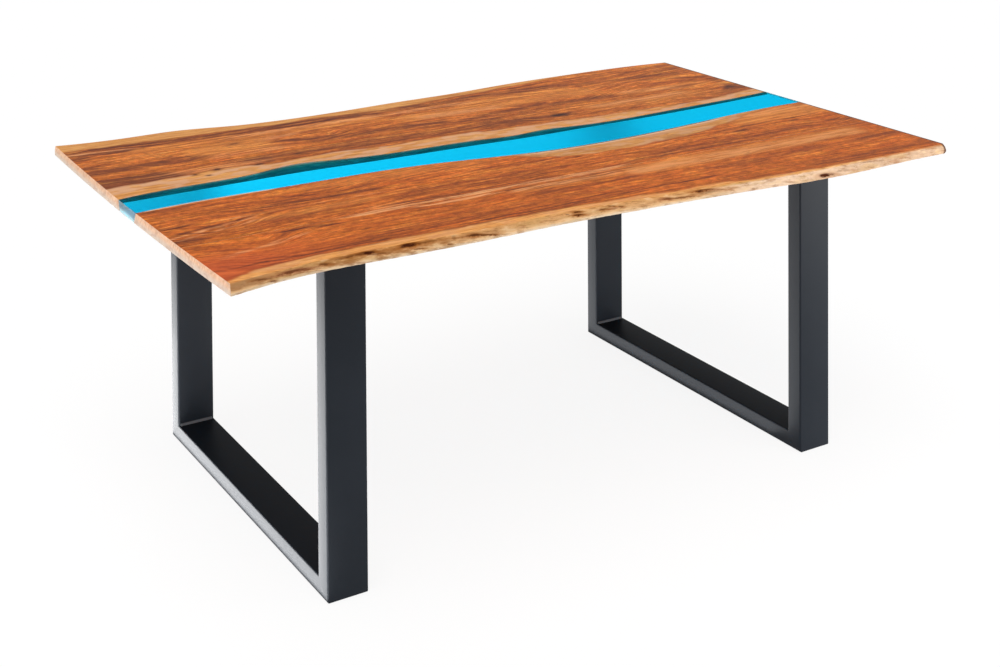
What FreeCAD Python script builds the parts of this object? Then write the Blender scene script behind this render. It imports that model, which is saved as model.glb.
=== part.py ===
"""Live edge dining table with a resin river, on two welded steel U frames.

Two slabs, each glued up from three boards, are joined by a cast resin river. Each slab is bolted to
the mounting plates of the two leg frames. X runs along the length, Y across the table with the front
edge at -Y, and Z is up. The origin is on the floor, under the middle of the river. Millimetres.
"""
import FreeCAD, Part
import math
import os

from FreeCAD import Vector

# ---------------------------------------------------------------- table top
TABLE_HEIGHT = 760.0
TOP_LENGTH = 2000.0
TOP_WIDTH = 1000.0               # between the nominal lines of the live edges
TOP_THICKNESS = 25.0
LEFT_END_CROWN = 10.0            # the sawn left end bows out this far at its middle
BLANK_OVERRUN = 2.0              # the boards are cut over long by this much before they are sawn
SAW_OVERRUN = 60.0               # the saw cuts run this far past the nominal edges and both faces

# The boards from the river outwards; the outer board of each slab takes the rest of the width.
RIVER_WIDTH = 120.0              # between the nominal lines of the banks
BACK_RIVER_BOARD_WIDTH = 140.0
BACK_MIDDLE_BOARD_WIDTH = 135.0
FRONT_RIVER_BOARD_WIDTH = 120.0
FRONT_MIDDLE_BOARD_WIDTH = 105.0

# Natural sides: (place along the blank from -1 to 1, offset in Y of the top arris from the nominal
# line, offset in Y of the lower arris). A live edge leans out a little towards its lower arris.
BACK_LIVE_EDGE = (
    (-1.00, 18, 25), (-0.93, 6, 13), (-0.80, -3, 6), (-0.66, -4, 5), (-0.50, -33, -24),
    (-0.38, -44, -37), (-0.20, -45, -38), (0.00, -36, -28), (0.20, -32, -22), (0.40, -18, -10),
    (0.60, -14, -5), (0.80, -16, -8), (1.00, -34, -26),
)
BACK_BANK = (
    (-1.00, -8, -15), (-0.80, 8, -12), (-0.65, 14, -9), (-0.52, 35, -8), (-0.40, 18, -13),
    (-0.20, 0, -20), (0.00, -8, -26), (0.10, -17, -31), (0.19, -10, -32), (0.30, -22, -31),
    (0.50, -27, -31), (0.70, -18, -26), (0.85, -12, -18), (1.00, 0, -9),
)
FRONT_BANK = (
    (-1.00, 10, 20), (-0.80, 20, 31), (-0.60, 16, 28), (-0.40, 14, 25), (-0.20, -2, 11),
    (0.00, -33, -20), (0.20, -48, -36), (0.40, -44, -33), (0.60, -28, -17), (0.80, -11, 0),
    (1.00, -8, 2),
)
FRONT_LIVE_EDGE = (
    (-1.00, -3, -8), (-0.90, 9, 11), (-0.80, 20, 22), (-0.65, 23, 20), (-0.40, 17, 14),
    (-0.15, 20, 15), (0.05, 10, 8), (0.20, 3, 1), (0.40, -12, -13), (0.50, -17, -22),
    (0.62, -19, -28), (0.78, -20, -25), (1.00, -17, -22),
)

# ---------------------------------------------------------------- leg frames
FRAME_END_INSET = 269.0          # from the end of the top to the outer face of the frame
FRAME_SIDE_INSET = 100.0         # from the nominal live edge to the outer face of a post
TUBE_WIDTH = 100.0               # along the table
TUBE_DEPTH = 40.0                # across the table on a post, up and down on the floor bar
TUBE_WALL = 2.0
TUBE_CORNER_RADIUS = 4.0
MITRE_OVERRUN = 2.0              # the mitre cuts run this far past the tube
WELD_LEG = 5.0
WELD_CROWN = 0.62                # height of the bead's middle as a share of its leg

PLATE_THICKNESS = 6.0
PLATE_CORNER_RADIUS = 4.0
BOLT_ROW_FROM_POST = 40.0        # from the inner face of the post to the first row of bolts
BOLT_ROW_SPACING = 70.0
BOLT_COLUMN_SPACING = 60.0
PLATE_END_MARGIN = 30.0          # from the second row of bolts to the end of the plate
SLOT_WIDTH = 9.0
SLOT_LENGTH = 14.0               # across the grain, so that the slabs can move with the seasons

GLIDE_THICKNESS = 2.0
GLIDE_RADIUS = 15.0
GLIDE_SPACING = 56.0             # between the two glides at one end of a floor bar
GLIDE_INSET = 60.0               # from the outer face of the post

# ---------------------------------------------------------------- fasteners
BOLT_RADIUS = 4.0
BOLT_HEAD_ACROSS_FLATS = 13.0
BOLT_HEAD_HEIGHT = 5.3
BOLT_TIP_CHAMFER = 1.0
THREAD_ENGAGEMENT = 12.4
WASHER_RADIUS = 8.0
WASHER_THICKNESS = 1.6
WASHER_CLEARANCE = 0.2
INSERT_RADIUS = 6.0
INSERT_LENGTH = 16.0
THREAD_CLEARANCE = 0.05
INSERT_HOLE_CLEARANCE = 0.05
INSERT_HOLE_END_SPACE = 2.0

# ---------------------------------------------------------------- derived places
UNDERSIDE = TABLE_HEIGHT - TOP_THICKNESS
LEFT_END = -TOP_LENGTH / 2
RIGHT_END = TOP_LENGTH / 2

BACK_BANK_LINE = RIVER_WIDTH / 2
BACK_INNER_JOINT = BACK_BANK_LINE + BACK_RIVER_BOARD_WIDTH
BACK_OUTER_JOINT = BACK_INNER_JOINT + BACK_MIDDLE_BOARD_WIDTH
BACK_EDGE_LINE = TOP_WIDTH / 2
FRONT_BANK_LINE = -RIVER_WIDTH / 2
FRONT_INNER_JOINT = FRONT_BANK_LINE - FRONT_RIVER_BOARD_WIDTH
FRONT_OUTER_JOINT = FRONT_INNER_JOINT - FRONT_MIDDLE_BOARD_WIDTH
FRONT_EDGE_LINE = -TOP_WIDTH / 2

FRAME_CENTRE = RIGHT_END - FRAME_END_INSET - TUBE_WIDTH / 2
FRAME_SIDES = {"left": -FRAME_CENTRE, "right": FRAME_CENTRE}
BACK_POST_FACE = BACK_EDGE_LINE - FRAME_SIDE_INSET
FRONT_POST_FACE = FRONT_EDGE_LINE + FRAME_SIDE_INSET
# A post stands at each end of a floor bar: its outer face, and the way from there to the middle.
POSTS = {"front": (FRONT_POST_FACE, 1), "back": (BACK_POST_FACE, -1)}

BAR_BOTTOM = GLIDE_THICKNESS
BAR_TOP = BAR_BOTTOM + TUBE_DEPTH
PLATE_BOTTOM = UNDERSIDE - PLATE_THICKNESS
PLATE_LENGTH = TUBE_DEPTH + BOLT_ROW_FROM_POST + BOLT_ROW_SPACING + PLATE_END_MARGIN
WELD_LENGTH = TUBE_WIDTH - 2 * TUBE_CORNER_RADIUS


# ---------------------------------------------------------------- small shapes
def rounded_rectangle(width, height, radius):
    """A wire in the XY plane, centred on the origin; a slot where radius is half the width."""
    arcs = []
    for quarter, (side_x, side_y) in enumerate(((1, 1), (-1, 1), (-1, -1), (1, -1))):
        centre = Vector(side_x * (width / 2 - radius), side_y * (height / 2 - radius), 0)
        points = []
        for turn in (0, 45, 90):
            angle = math.radians(90 * quarter + turn)
            points.append(centre + Vector(radius * math.cos(angle), radius * math.sin(angle), 0))
        arcs.append(Part.Arc(*points))
    edges = []
    for arc, following in zip(arcs, arcs[1:] + arcs[:1]):
        edges.append(arc.toShape())
        if arc.EndPoint.distanceToPoint(following.StartPoint) > FreeCAD.Base.Precision.confusion():
            edges.append(Part.makeLine(arc.EndPoint, following.StartPoint))
    return Part.Wire(edges)


def prism(points, direction):
    """A solid with the polygon through points as its base."""
    face = Part.Face(Part.makePolygon(points + [points[0]]))
    return face.extrude(direction)


def tube(length):
    """A rectangular tube along +Z: TUBE_WIDTH along X, TUBE_DEPTH along Y, centred on the Z axis."""
    outside = rounded_rectangle(TUBE_WIDTH, TUBE_DEPTH, TUBE_CORNER_RADIUS)
    bore_width = TUBE_WIDTH - 2 * TUBE_WALL
    bore_depth = TUBE_DEPTH - 2 * TUBE_WALL
    bore = rounded_rectangle(bore_width, bore_depth, TUBE_CORNER_RADIUS - TUBE_WALL)
    along_z = Vector(0, 0, length)
    return Part.Face(outside).extrude(along_z).cut(Part.Face(bore).extrude(along_z))


def write(node, solids):
    """Write one node's solids as parts/NODE.step."""
    shape = solids[0] if len(solids) == 1 else Part.makeCompound(solids)
    shape.exportStep("parts/" + node + ".step")


# ---------------------------------------------------------------- table top
def along(station):
    """X of a place along a blank, from -1 beyond the left saw cut to 1 beyond the right one."""
    start = LEFT_END - LEFT_END_CROWN - BLANK_OVERRUN
    end = RIGHT_END + BLANK_OVERRUN
    return start + (station + 1) / 2 * (end - start)


def natural_side(wave, line_y):
    """The lower and upper rails of a live edge or a river bank."""
    rails = []
    for z, column in ((UNDERSIDE, 2), (TABLE_HEIGHT, 1)):
        curve = Part.BSplineCurve()
        curve.interpolate([Vector(along(row[0]), line_y + row[column], z) for row in wave])
        rails.append(curve.toShape())
    return rails


def glued_side(line_y):
    """The lower and upper rails of a straight glue joint."""
    rails = []
    for z in (UNDERSIDE, TABLE_HEIGHT):
        start = Vector(along(-1), line_y, z)
        end = Vector(along(1), line_y, z)
        rails.append(Part.LineSegment(start, end).toShape())
    return rails


def end_trim():
    """Everything between the two saw cuts; the left one is a shallow arc from side to side."""
    half_width = TOP_WIDTH / 2
    radius = (half_width ** 2 + LEFT_END_CROWN ** 2) / (2 * LEFT_END_CROWN)
    reach = half_width + SAW_OVERRUN
    bottom = UNDERSIDE - SAW_OVERRUN
    centre_x = LEFT_END - LEFT_END_CROWN + radius
    arc_end_x = centre_x - math.sqrt(radius ** 2 - reach ** 2)
    front = Vector(arc_end_x, -reach, bottom)
    crown = Vector(LEFT_END - LEFT_END_CROWN, 0, bottom)
    back = Vector(arc_end_x, reach, bottom)
    right_back = Vector(RIGHT_END, reach, bottom)
    right_front = Vector(RIGHT_END, -reach, bottom)
    outline = Part.Wire([
        Part.Arc(front, crown, back).toShape(),
        Part.LineSegment(back, right_back).toShape(),
        Part.LineSegment(right_back, right_front).toShape(),
        Part.LineSegment(right_front, front).toShape(),
    ])
    return Part.Face(outline).extrude(Vector(0, 0, TOP_THICKNESS + 2 * SAW_OVERRUN))


def top_piece(front_side, back_side, trim):
    """The solid between two sides of the top, lofted as a blank and sawn to length."""
    sections = []
    for front_rail, back_rail in zip(front_side, back_side):
        left = Part.makeLine(front_rail.valueAt(front_rail.FirstParameter),
                             back_rail.valueAt(back_rail.FirstParameter))
        right = Part.makeLine(back_rail.valueAt(back_rail.LastParameter),
                              front_rail.valueAt(front_rail.LastParameter))
        sections.append(Part.Wire(Part.__sortEdges__([front_rail, right, back_rail, left])))
    blank = Part.makeLoft(sections, True, True)
    return blank.common(trim).Solids[0]


def make_top(insert_holes):
    """Every board of the two slabs, and the river between them."""
    trim = end_trim()
    back_edge = natural_side(BACK_LIVE_EDGE, BACK_EDGE_LINE)
    back_outer_joint = glued_side(BACK_OUTER_JOINT)
    back_inner_joint = glued_side(BACK_INNER_JOINT)
    back_bank = natural_side(BACK_BANK, BACK_BANK_LINE)
    front_bank = natural_side(FRONT_BANK, FRONT_BANK_LINE)
    front_inner_joint = glued_side(FRONT_INNER_JOINT)
    front_outer_joint = glued_side(FRONT_OUTER_JOINT)
    front_edge = natural_side(FRONT_LIVE_EDGE, FRONT_EDGE_LINE)
    pieces = {
        "back_outer_board": (back_outer_joint, back_edge),
        "back_middle_board": (back_inner_joint, back_outer_joint),
        "back_river_board": (back_bank, back_inner_joint),
        "river_resin": (front_bank, back_bank),
        "front_river_board": (front_inner_joint, front_bank),
        "front_middle_board": (front_outer_joint, front_inner_joint),
        "front_outer_board": (front_edge, front_outer_joint),
    }
    for node, (front_side, back_side) in pieces.items():
        solid = top_piece(front_side, back_side, trim)
        if node != "river_resin":
            solid = solid.cut(insert_holes).Solids[0]
        write(node, [solid])


# ---------------------------------------------------------------- leg frames
def mitre_cutter(frame_x, outer_y, inward, above):
    """A wedge on one side of the 45 degree mitre between a post and the floor bar."""
    reach = TUBE_DEPTH + MITRE_OVERRUN
    low_y = outer_y - inward * MITRE_OVERRUN
    high_y = outer_y + inward * reach
    low_z = BAR_BOTTOM - MITRE_OVERRUN
    high_z = BAR_BOTTOM + reach
    x = frame_x - TUBE_WIDTH
    square = Vector(x, low_y, high_z) if above else Vector(x, high_y, low_z)
    points = [Vector(x, low_y, low_z), Vector(x, high_y, high_z), square]
    return prism(points, Vector(2 * TUBE_WIDTH, 0, 0))


def make_post(frame_x, outer_y, inward):
    """A post from the floor bar's mitre up to its mounting plate."""
    post = tube(PLATE_BOTTOM - BAR_BOTTOM)
    post.translate(Vector(frame_x, outer_y + inward * TUBE_DEPTH / 2, BAR_BOTTOM))
    return post.cut(mitre_cutter(frame_x, outer_y, inward, False)).Solids[0]


def make_floor_bar(frame_x):
    """The tube along the floor between the two mitres."""
    bar = tube(BACK_POST_FACE - FRONT_POST_FACE)
    bar.rotate(Vector(0, 0, 0), Vector(1, 0, 0), -90)
    bar.translate(Vector(frame_x, FRONT_POST_FACE, BAR_BOTTOM + TUBE_DEPTH / 2))
    for outer_y, inward in POSTS.values():
        bar = bar.cut(mitre_cutter(frame_x, outer_y, inward, True))
    return bar.Solids[0]


def weld_bead(frame_x, corner_y, corner_z, inward, upward):
    """A fillet weld along X, in the corner between a post and what it is welded to."""
    x = frame_x - WELD_LENGTH / 2
    corner = Vector(x, corner_y, corner_z)
    along_plate = Vector(x, corner_y + inward * WELD_LEG, corner_z)
    along_post = Vector(x, corner_y, corner_z + upward * WELD_LEG)
    bulge = WELD_LEG * WELD_CROWN
    middle = Vector(x, corner_y + inward * bulge, corner_z + upward * bulge)
    outline = Part.Wire([
        Part.LineSegment(corner, along_plate).toShape(),
        Part.Arc(along_plate, middle, along_post).toShape(),
        Part.LineSegment(along_post, corner).toShape(),
    ])
    return Part.Face(outline).extrude(Vector(WELD_LENGTH, 0, 0))


def bolt_places(frame_x, outer_y, inward):
    """X and Y of the four bolts of one mounting plate."""
    first_row = outer_y + inward * (TUBE_DEPTH + BOLT_ROW_FROM_POST)
    places = []
    for row in range(2):
        for side in (-1, 1):
            x = frame_x + side * BOLT_COLUMN_SPACING / 2
            places.append((x, first_row + inward * row * BOLT_ROW_SPACING))
    return places


def make_mount_plate(frame_x, outer_y, inward):
    """The plate on top of a post, reaching towards the middle of the table."""
    outline = rounded_rectangle(TUBE_WIDTH, PLATE_LENGTH, PLATE_CORNER_RADIUS)
    plate = Part.Face(outline).extrude(Vector(0, 0, PLATE_THICKNESS))
    plate.translate(Vector(frame_x, outer_y + inward * PLATE_LENGTH / 2, PLATE_BOTTOM))
    slot_outline = rounded_rectangle(SLOT_WIDTH, SLOT_LENGTH, SLOT_WIDTH / 2)
    for x, y in bolt_places(frame_x, outer_y, inward):
        slot = Part.Face(slot_outline).extrude(Vector(0, 0, PLATE_THICKNESS))
        slot.translate(Vector(x, y, PLATE_BOTTOM))
        plate = plate.cut(slot)
    return plate.Solids[0]


# ---------------------------------------------------------------- fasteners and glides
def ring(x, y, bottom, outer_radius, inner_radius, height):
    """A plain ring with its axis along Z."""
    base = Vector(x, y, bottom)
    outside = Part.makeCylinder(outer_radius, height, base)
    return outside.cut(Part.makeCylinder(inner_radius, height, base))


def make_bolt(x, y):
    """A hexagon bolt from below the washer up into the threaded insert."""
    seat = PLATE_BOTTOM - WASHER_THICKNESS
    corner_radius = BOLT_HEAD_ACROSS_FLATS / 2 / math.cos(math.pi / 6)
    corners = []
    for i in range(6):
        angle = i * math.pi / 3
        corners.append(Vector(x + corner_radius * math.cos(angle),
                              y + corner_radius * math.sin(angle), seat - BOLT_HEAD_HEIGHT))
    head = prism(corners, Vector(0, 0, BOLT_HEAD_HEIGHT))
    plain_length = UNDERSIDE + THREAD_ENGAGEMENT - BOLT_TIP_CHAMFER - seat
    shank = Part.makeCylinder(BOLT_RADIUS, plain_length, Vector(x, y, seat))
    tip = Part.makeCone(BOLT_RADIUS, BOLT_RADIUS - BOLT_TIP_CHAMFER, BOLT_TIP_CHAMFER,
                        Vector(x, y, seat + plain_length))
    return head.fuse([shank, tip]).removeSplitter().Solids[0]


def make_insert_hole(x, y):
    """The blind hole for a threaded insert, bored into the underside of a slab."""
    radius = INSERT_RADIUS + INSERT_HOLE_CLEARANCE
    return Part.makeCylinder(radius, INSERT_LENGTH + INSERT_HOLE_END_SPACE, Vector(x, y, UNDERSIDE))


def make_glides(frame_x):
    """Four pads under a floor bar, two side by side near each end."""
    glides = []
    for outer_y, inward in POSTS.values():
        for side in (-1, 1):
            place = Vector(frame_x + side * GLIDE_SPACING / 2, outer_y + inward * GLIDE_INSET, 0)
            glides.append(Part.makeCylinder(GLIDE_RADIUS, GLIDE_THICKNESS, place))
    return glides


def make_leg_frame(side, frame_x):
    """Write every piece of one U frame with its fasteners, and return its insert holes."""
    corner_welds = []
    plate_welds = []
    places = []
    for end, (outer_y, inward) in POSTS.items():
        inner_y = outer_y + inward * TUBE_DEPTH
        write(side + "_" + end + "_post", [make_post(frame_x, outer_y, inward)])
        write(side + "_" + end + "_mount_plate", [make_mount_plate(frame_x, outer_y, inward)])
        corner_welds.append(weld_bead(frame_x, inner_y, BAR_TOP, inward, 1))
        plate_welds.append(weld_bead(frame_x, inner_y, PLATE_BOTTOM, inward, -1))
        places += bolt_places(frame_x, outer_y, inward)
    write(side + "_floor_bar", [make_floor_bar(frame_x)])
    write(side + "_corner_welds", corner_welds)
    write(side + "_plate_welds", plate_welds)
    write(side + "_floor_glides", make_glides(frame_x))
    write(side + "_plate_bolts", [make_bolt(x, y) for x, y in places])
    washer_bottom = PLATE_BOTTOM - WASHER_THICKNESS
    washer_bore = BOLT_RADIUS + WASHER_CLEARANCE
    write(side + "_plate_washers",
          [ring(x, y, washer_bottom, WASHER_RADIUS, washer_bore, WASHER_THICKNESS) for x, y in places])
    thread_radius = BOLT_RADIUS + THREAD_CLEARANCE
    write(side + "_threaded_inserts",
          [ring(x, y, UNDERSIDE, INSERT_RADIUS, thread_radius, INSERT_LENGTH) for x, y in places])
    return [make_insert_hole(x, y) for x, y in places]


os.makedirs("parts", exist_ok=True)
all_insert_holes = []
for frame_side, centre_x in FRAME_SIDES.items():
    all_insert_holes += make_leg_frame(frame_side, centre_x)
make_top(all_insert_holes)
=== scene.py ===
"""A live edge dining table with a resin river, dressed around its packed frame.

Every piece stands where the frame's node of the same name stands. Lengths are metres, X runs along the
table, its front is at -Y, and Z is up.
"""
import math
from functools import cached_property
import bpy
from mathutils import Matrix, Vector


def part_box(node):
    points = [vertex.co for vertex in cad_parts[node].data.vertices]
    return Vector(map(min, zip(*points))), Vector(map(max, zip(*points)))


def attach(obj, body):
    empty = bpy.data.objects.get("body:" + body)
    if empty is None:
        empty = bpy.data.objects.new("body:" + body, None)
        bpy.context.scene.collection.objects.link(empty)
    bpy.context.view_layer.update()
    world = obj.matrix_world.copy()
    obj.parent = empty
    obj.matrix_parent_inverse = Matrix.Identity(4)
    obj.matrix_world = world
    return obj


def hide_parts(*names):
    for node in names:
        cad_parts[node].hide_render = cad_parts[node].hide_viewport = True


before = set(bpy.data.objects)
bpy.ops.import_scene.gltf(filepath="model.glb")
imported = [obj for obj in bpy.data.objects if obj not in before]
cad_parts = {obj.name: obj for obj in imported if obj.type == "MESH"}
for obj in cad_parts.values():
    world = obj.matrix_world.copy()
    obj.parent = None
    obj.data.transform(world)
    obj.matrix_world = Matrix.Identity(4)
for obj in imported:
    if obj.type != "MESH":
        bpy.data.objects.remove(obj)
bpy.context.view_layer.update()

from types import SimpleNamespace

import bmesh
import bpy
import numpy as np
from bpy.props import FloatProperty, FloatVectorProperty, PointerProperty
from mathutils import Matrix, Vector, noise

bl_info = {
    "name": "River table",
    "version": (1, 0, 0),
    "blender": (4, 5, 0),
    "location": "3D View > Sidebar > River table",
    "description": "Builds the boards, river, leg frames and fittings of a live edge dining table",
    "category": "Add Mesh",
}

# ---------------------------------------------------------------- places read from the frame
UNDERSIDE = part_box("river_resin")[0].z
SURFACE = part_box("river_resin")[1].z
THICKNESS = SURFACE - UNDERSIDE
LEFT_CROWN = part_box("river_resin")[0].x
RIGHT_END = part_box("river_resin")[1].x
LEFT_END = -RIGHT_END
HALF_WIDTH = 0.5                    # from the middle of the table to the nominal live edges
BACK_INNER_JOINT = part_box("back_middle_board")[0].y
BACK_OUTER_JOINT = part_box("back_middle_board")[1].y
FRONT_OUTER_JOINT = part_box("front_middle_board")[0].y
FRONT_INNER_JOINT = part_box("front_middle_board")[1].y

FRAME_SIDES = ("left", "right")
FRAME_ENDS = ("front", "back")
SAME_PLACE = 1e-5                   # points nearer than this are in the same plane
LEFT_ZONE = -0.99                   # points left of this are on the sawn left end
BESIDE_JOINT = 0.06                 # no live edge or bank comes this near to a glue joint


# ================================================================ settings
def srgb(red, green, blue):
    """A linear colour from the three 8 bit values that a screen shows."""
    linear = []
    for value in (red, green, blue):
        share = value / 255
        linear.append(share / 12.92 if share <= 0.04045 else ((share + 0.055) / 1.055) ** 2.4)
    return tuple(linear)


def length_property(name, description, default):
    return FloatProperty(name=name, description=description, default=default, min=0.0, unit="LENGTH")


def share_property(name, description, default):
    return FloatProperty(name=name, description=description, default=default, min=0.0, max=1.0,
                         subtype="FACTOR")


def colour_property(name, description, default):
    return FloatVectorProperty(name=name, description=description, default=default, min=0.0, max=1.0,
                               subtype="COLOR")


class RiverTableWood(bpy.types.PropertyGroup):
    """Sizes and colours of the boards."""
    arris_radius: length_property("Arris", "Rounding of the sawn ends and the live edges", 0.0014)
    edge_relief: length_property("Edge relief", "Height of the waves left by the bark", 0.0016)
    figure_depth: share_property("Figure", "Contrast of the grain", 0.85)
    heartwood: colour_property("Heartwood", "Middle tone of the heartwood", srgb(192, 107, 43))
    heartwood_dark: colour_property("Dark rings", "Darkest tone of the grain", srgb(114, 53, 25))
    heartwood_light: colour_property("Light rings", "Lightest tone of the grain", srgb(232, 158, 78))
    streak: colour_property("Streaks", "Purple brown mineral streaks", srgb(88, 40, 26))
    sapwood: colour_property("Sapwood", "Pale band beside bark and river", srgb(228, 168, 98))
    sapwood_dark: colour_property("Sapwood grain", "Grain lines in the sapwood", srgb(184, 118, 58))
    knot: colour_property("Knots", "Hearts of the knots", srgb(52, 26, 22))
    end_grain: colour_property("End grain", "Sawn and oiled end grain", srgb(246, 206, 172))
    under_bark: colour_property("Under bark", "Cream wood just under the bark", srgb(246, 224, 194))
    bark: colour_property("Bark", "Remains of bark in the pits", srgb(76, 34, 14))


class RiverTableResin(bpy.types.PropertyGroup):
    """Tint and finish of the river."""
    tint: colour_property("Tint", "What a long way through the resin leaves", (0.0, 0.876, 0.956))
    density: FloatProperty(name="Density", description="Strength of the tint for each metre", default=185.0,
                           min=0.0)
    frost: share_property("Frosted underside", "Roughness of the sanded underside", 0.60)
    polish: share_property("Polish", "Roughness of the polished face", 0.02)


class RiverTableSteel(bpy.types.PropertyGroup):
    """Sizes and colours of the leg frames and fittings."""
    corner_radius: length_property("Tube corner", "Outer corner radius of the tubes", 0.004)
    wall: length_property("Tube wall", "Wall of the tubes", 0.002)
    ripple_pitch: length_property("Weld ripple", "Spacing of the ripples in a weld", 0.0026)
    coat: colour_property("Powder coat", "Anthracite powder coat", srgb(32, 37, 44))
    # The weld beads' coat is lighter than the tubes' coat: painted highlight along the beads.
    bead_highlight_coat: colour_property("Weld bead", "Thin coat over the weld beads", srgb(92, 94, 98))
    zinc: colour_property("Zinc", "Zinc plated bolts and washers", srgb(190, 192, 190))
    brass: colour_property("Brass", "Threaded inserts", srgb(198, 158, 86))
    rubber: colour_property("Rubber", "Floor glides", srgb(30, 30, 31))


class RiverTableStage(bpy.types.PropertyGroup):
    """Floor, light and camera."""
    shadow: share_property("Shadow", "How much of the floor's white is real light", 0.12)
    ambient: share_property("Ambient", "Light from all round", 0.42)
    camera_place: FloatVectorProperty(name="Camera", description="Place of the camera", unit="LENGTH",
                                      default=(-2.1943, -2.9593, 1.8367))


# ================================================================ curves of the top
def smooth_curve(xs, ys):
    """A natural cubic through the points, as a function of X, level beyond its ends."""
    count = len(xs)
    steps = np.diff(xs)
    matrix = np.eye(count)
    bends = np.zeros(count)
    for i in range(1, count - 1):
        matrix[i, i - 1:i + 2] = steps[i - 1], 2 * (steps[i - 1] + steps[i]), steps[i]
        bends[i] = 6 * ((ys[i + 1] - ys[i]) / steps[i] - (ys[i] - ys[i - 1]) / steps[i - 1])
    bends = np.linalg.solve(matrix, bends)

    def at(x):
        x = np.clip(x, xs[0], xs[-1])
        i = np.clip(np.searchsorted(xs, x) - 1, 0, count - 2)
        after, before, step = xs[i + 1] - x, x - xs[i], steps[i]
        curved = (bends[i] * after ** 3 + bends[i + 1] * before ** 3) / (6 * step)
        straight = (ys[i] / step - bends[i] * step / 6) * after
        return curved + straight + (ys[i + 1] / step - bends[i + 1] * step / 6) * before

    return at


def rail(node, z, outward, joint):
    """Y of the natural arris of a board at one face, as a function of X, through the frame's own points.

    outward is the side of the joint, +1 or -1 in Y, on which the arris lies.
    """
    points = np.array([vertex.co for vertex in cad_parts[node].data.vertices])
    points = points[np.abs(points[:, 2] - z) < SAME_PLACE]
    points = points[(points[:, 1] - joint) * outward > BESIDE_JOINT]
    left = points[points[:, 0] < LEFT_ZONE]
    right = points[points[:, 0] > RIGHT_END - SAME_PLACE]
    between = points[(points[:, 0] >= LEFT_ZONE) & (points[:, 0] <= RIGHT_END - SAME_PLACE)]
    corners = [group[np.argmax(group[:, 1] * outward)] for group in (left, right)]
    line = np.vstack([corners[:1], between[np.argsort(between[:, 0])], corners[1:]])
    line = line[np.concatenate([[True], np.diff(line[:, 0]) > SAME_PLACE])]
    return smooth_curve(line[:, 0], line[:, 1])


def natural_side(node, outward, joint):
    """The lower and upper rails of a live edge or a bank."""
    return rail(node, UNDERSIDE, outward, joint), rail(node, SURFACE, outward, joint)


def glued_side(joint):
    """The lower and upper rails of a glue joint."""
    def straight(x):
        return np.full(np.shape(x), joint)
    return straight, straight


def left_end(y):
    """X of the sawn left end, a shallow arc from one live edge to the other."""
    crown = LEFT_END - LEFT_CROWN
    radius = (HALF_WIDTH ** 2 + crown ** 2) / (2 * crown)
    return LEFT_CROWN + radius - np.sqrt(radius ** 2 - y ** 2)


# ================================================================ meshes
def place_object(name, data):
    """A new object in the scene."""
    shown = bpy.data.objects.new(name, data)
    bpy.context.scene.collection.objects.link(shown)
    return shown


def finish_piece(node, mesh):
    """Place a mesh as the piece that rides on the table and stands for one node."""
    piece = place_object(node + "_piece", mesh)
    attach(piece, "root")
    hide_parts(node)
    return piece


def finish_mesh(bm, name, material, sharp_degrees=35):
    """The mesh of a bmesh, with its normals outwards, smooth apart from its sharp edges."""
    bmesh.ops.recalc_face_normals(bm, faces=bm.faces)
    mesh = bpy.data.meshes.new(name)
    bm.to_mesh(mesh)
    bm.free()
    mesh.polygons.foreach_set("use_smooth", [True] * len(mesh.polygons))
    mesh.set_sharp_from_angle(angle=math.radians(sharp_degrees))
    mesh.update()
    mesh.materials.append(material)
    return mesh


def bridge(bm, one, other):
    """Faces between two closed loops with as many points."""
    for i in range(len(one)):
        following = (i + 1) % len(one)
        bm.faces.new((one[i], one[following], other[following], other[i]))


ARRIS_SEGMENTS = 3


def round_arrises(piece, radius):
    """Round the edges that a block's mesh has marked as soft."""
    rounding = piece.modifiers.new("arris", "BEVEL")
    rounding.limit_method = "WEIGHT"
    rounding.width = radius
    rounding.segments = ARRIS_SEGMENTS
    rounding.harden_normals = True


def bake_modifiers(piece):
    """Give a piece the mesh that its modifiers make, and take them off."""
    bpy.context.view_layer.update()
    shown = piece.evaluated_get(bpy.context.evaluated_depsgraph_get())
    mesh = bpy.data.meshes.new_from_object(shown)
    piece.modifiers.clear()
    old = piece.data
    piece.data = mesh
    bpy.data.meshes.remove(old)


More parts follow.
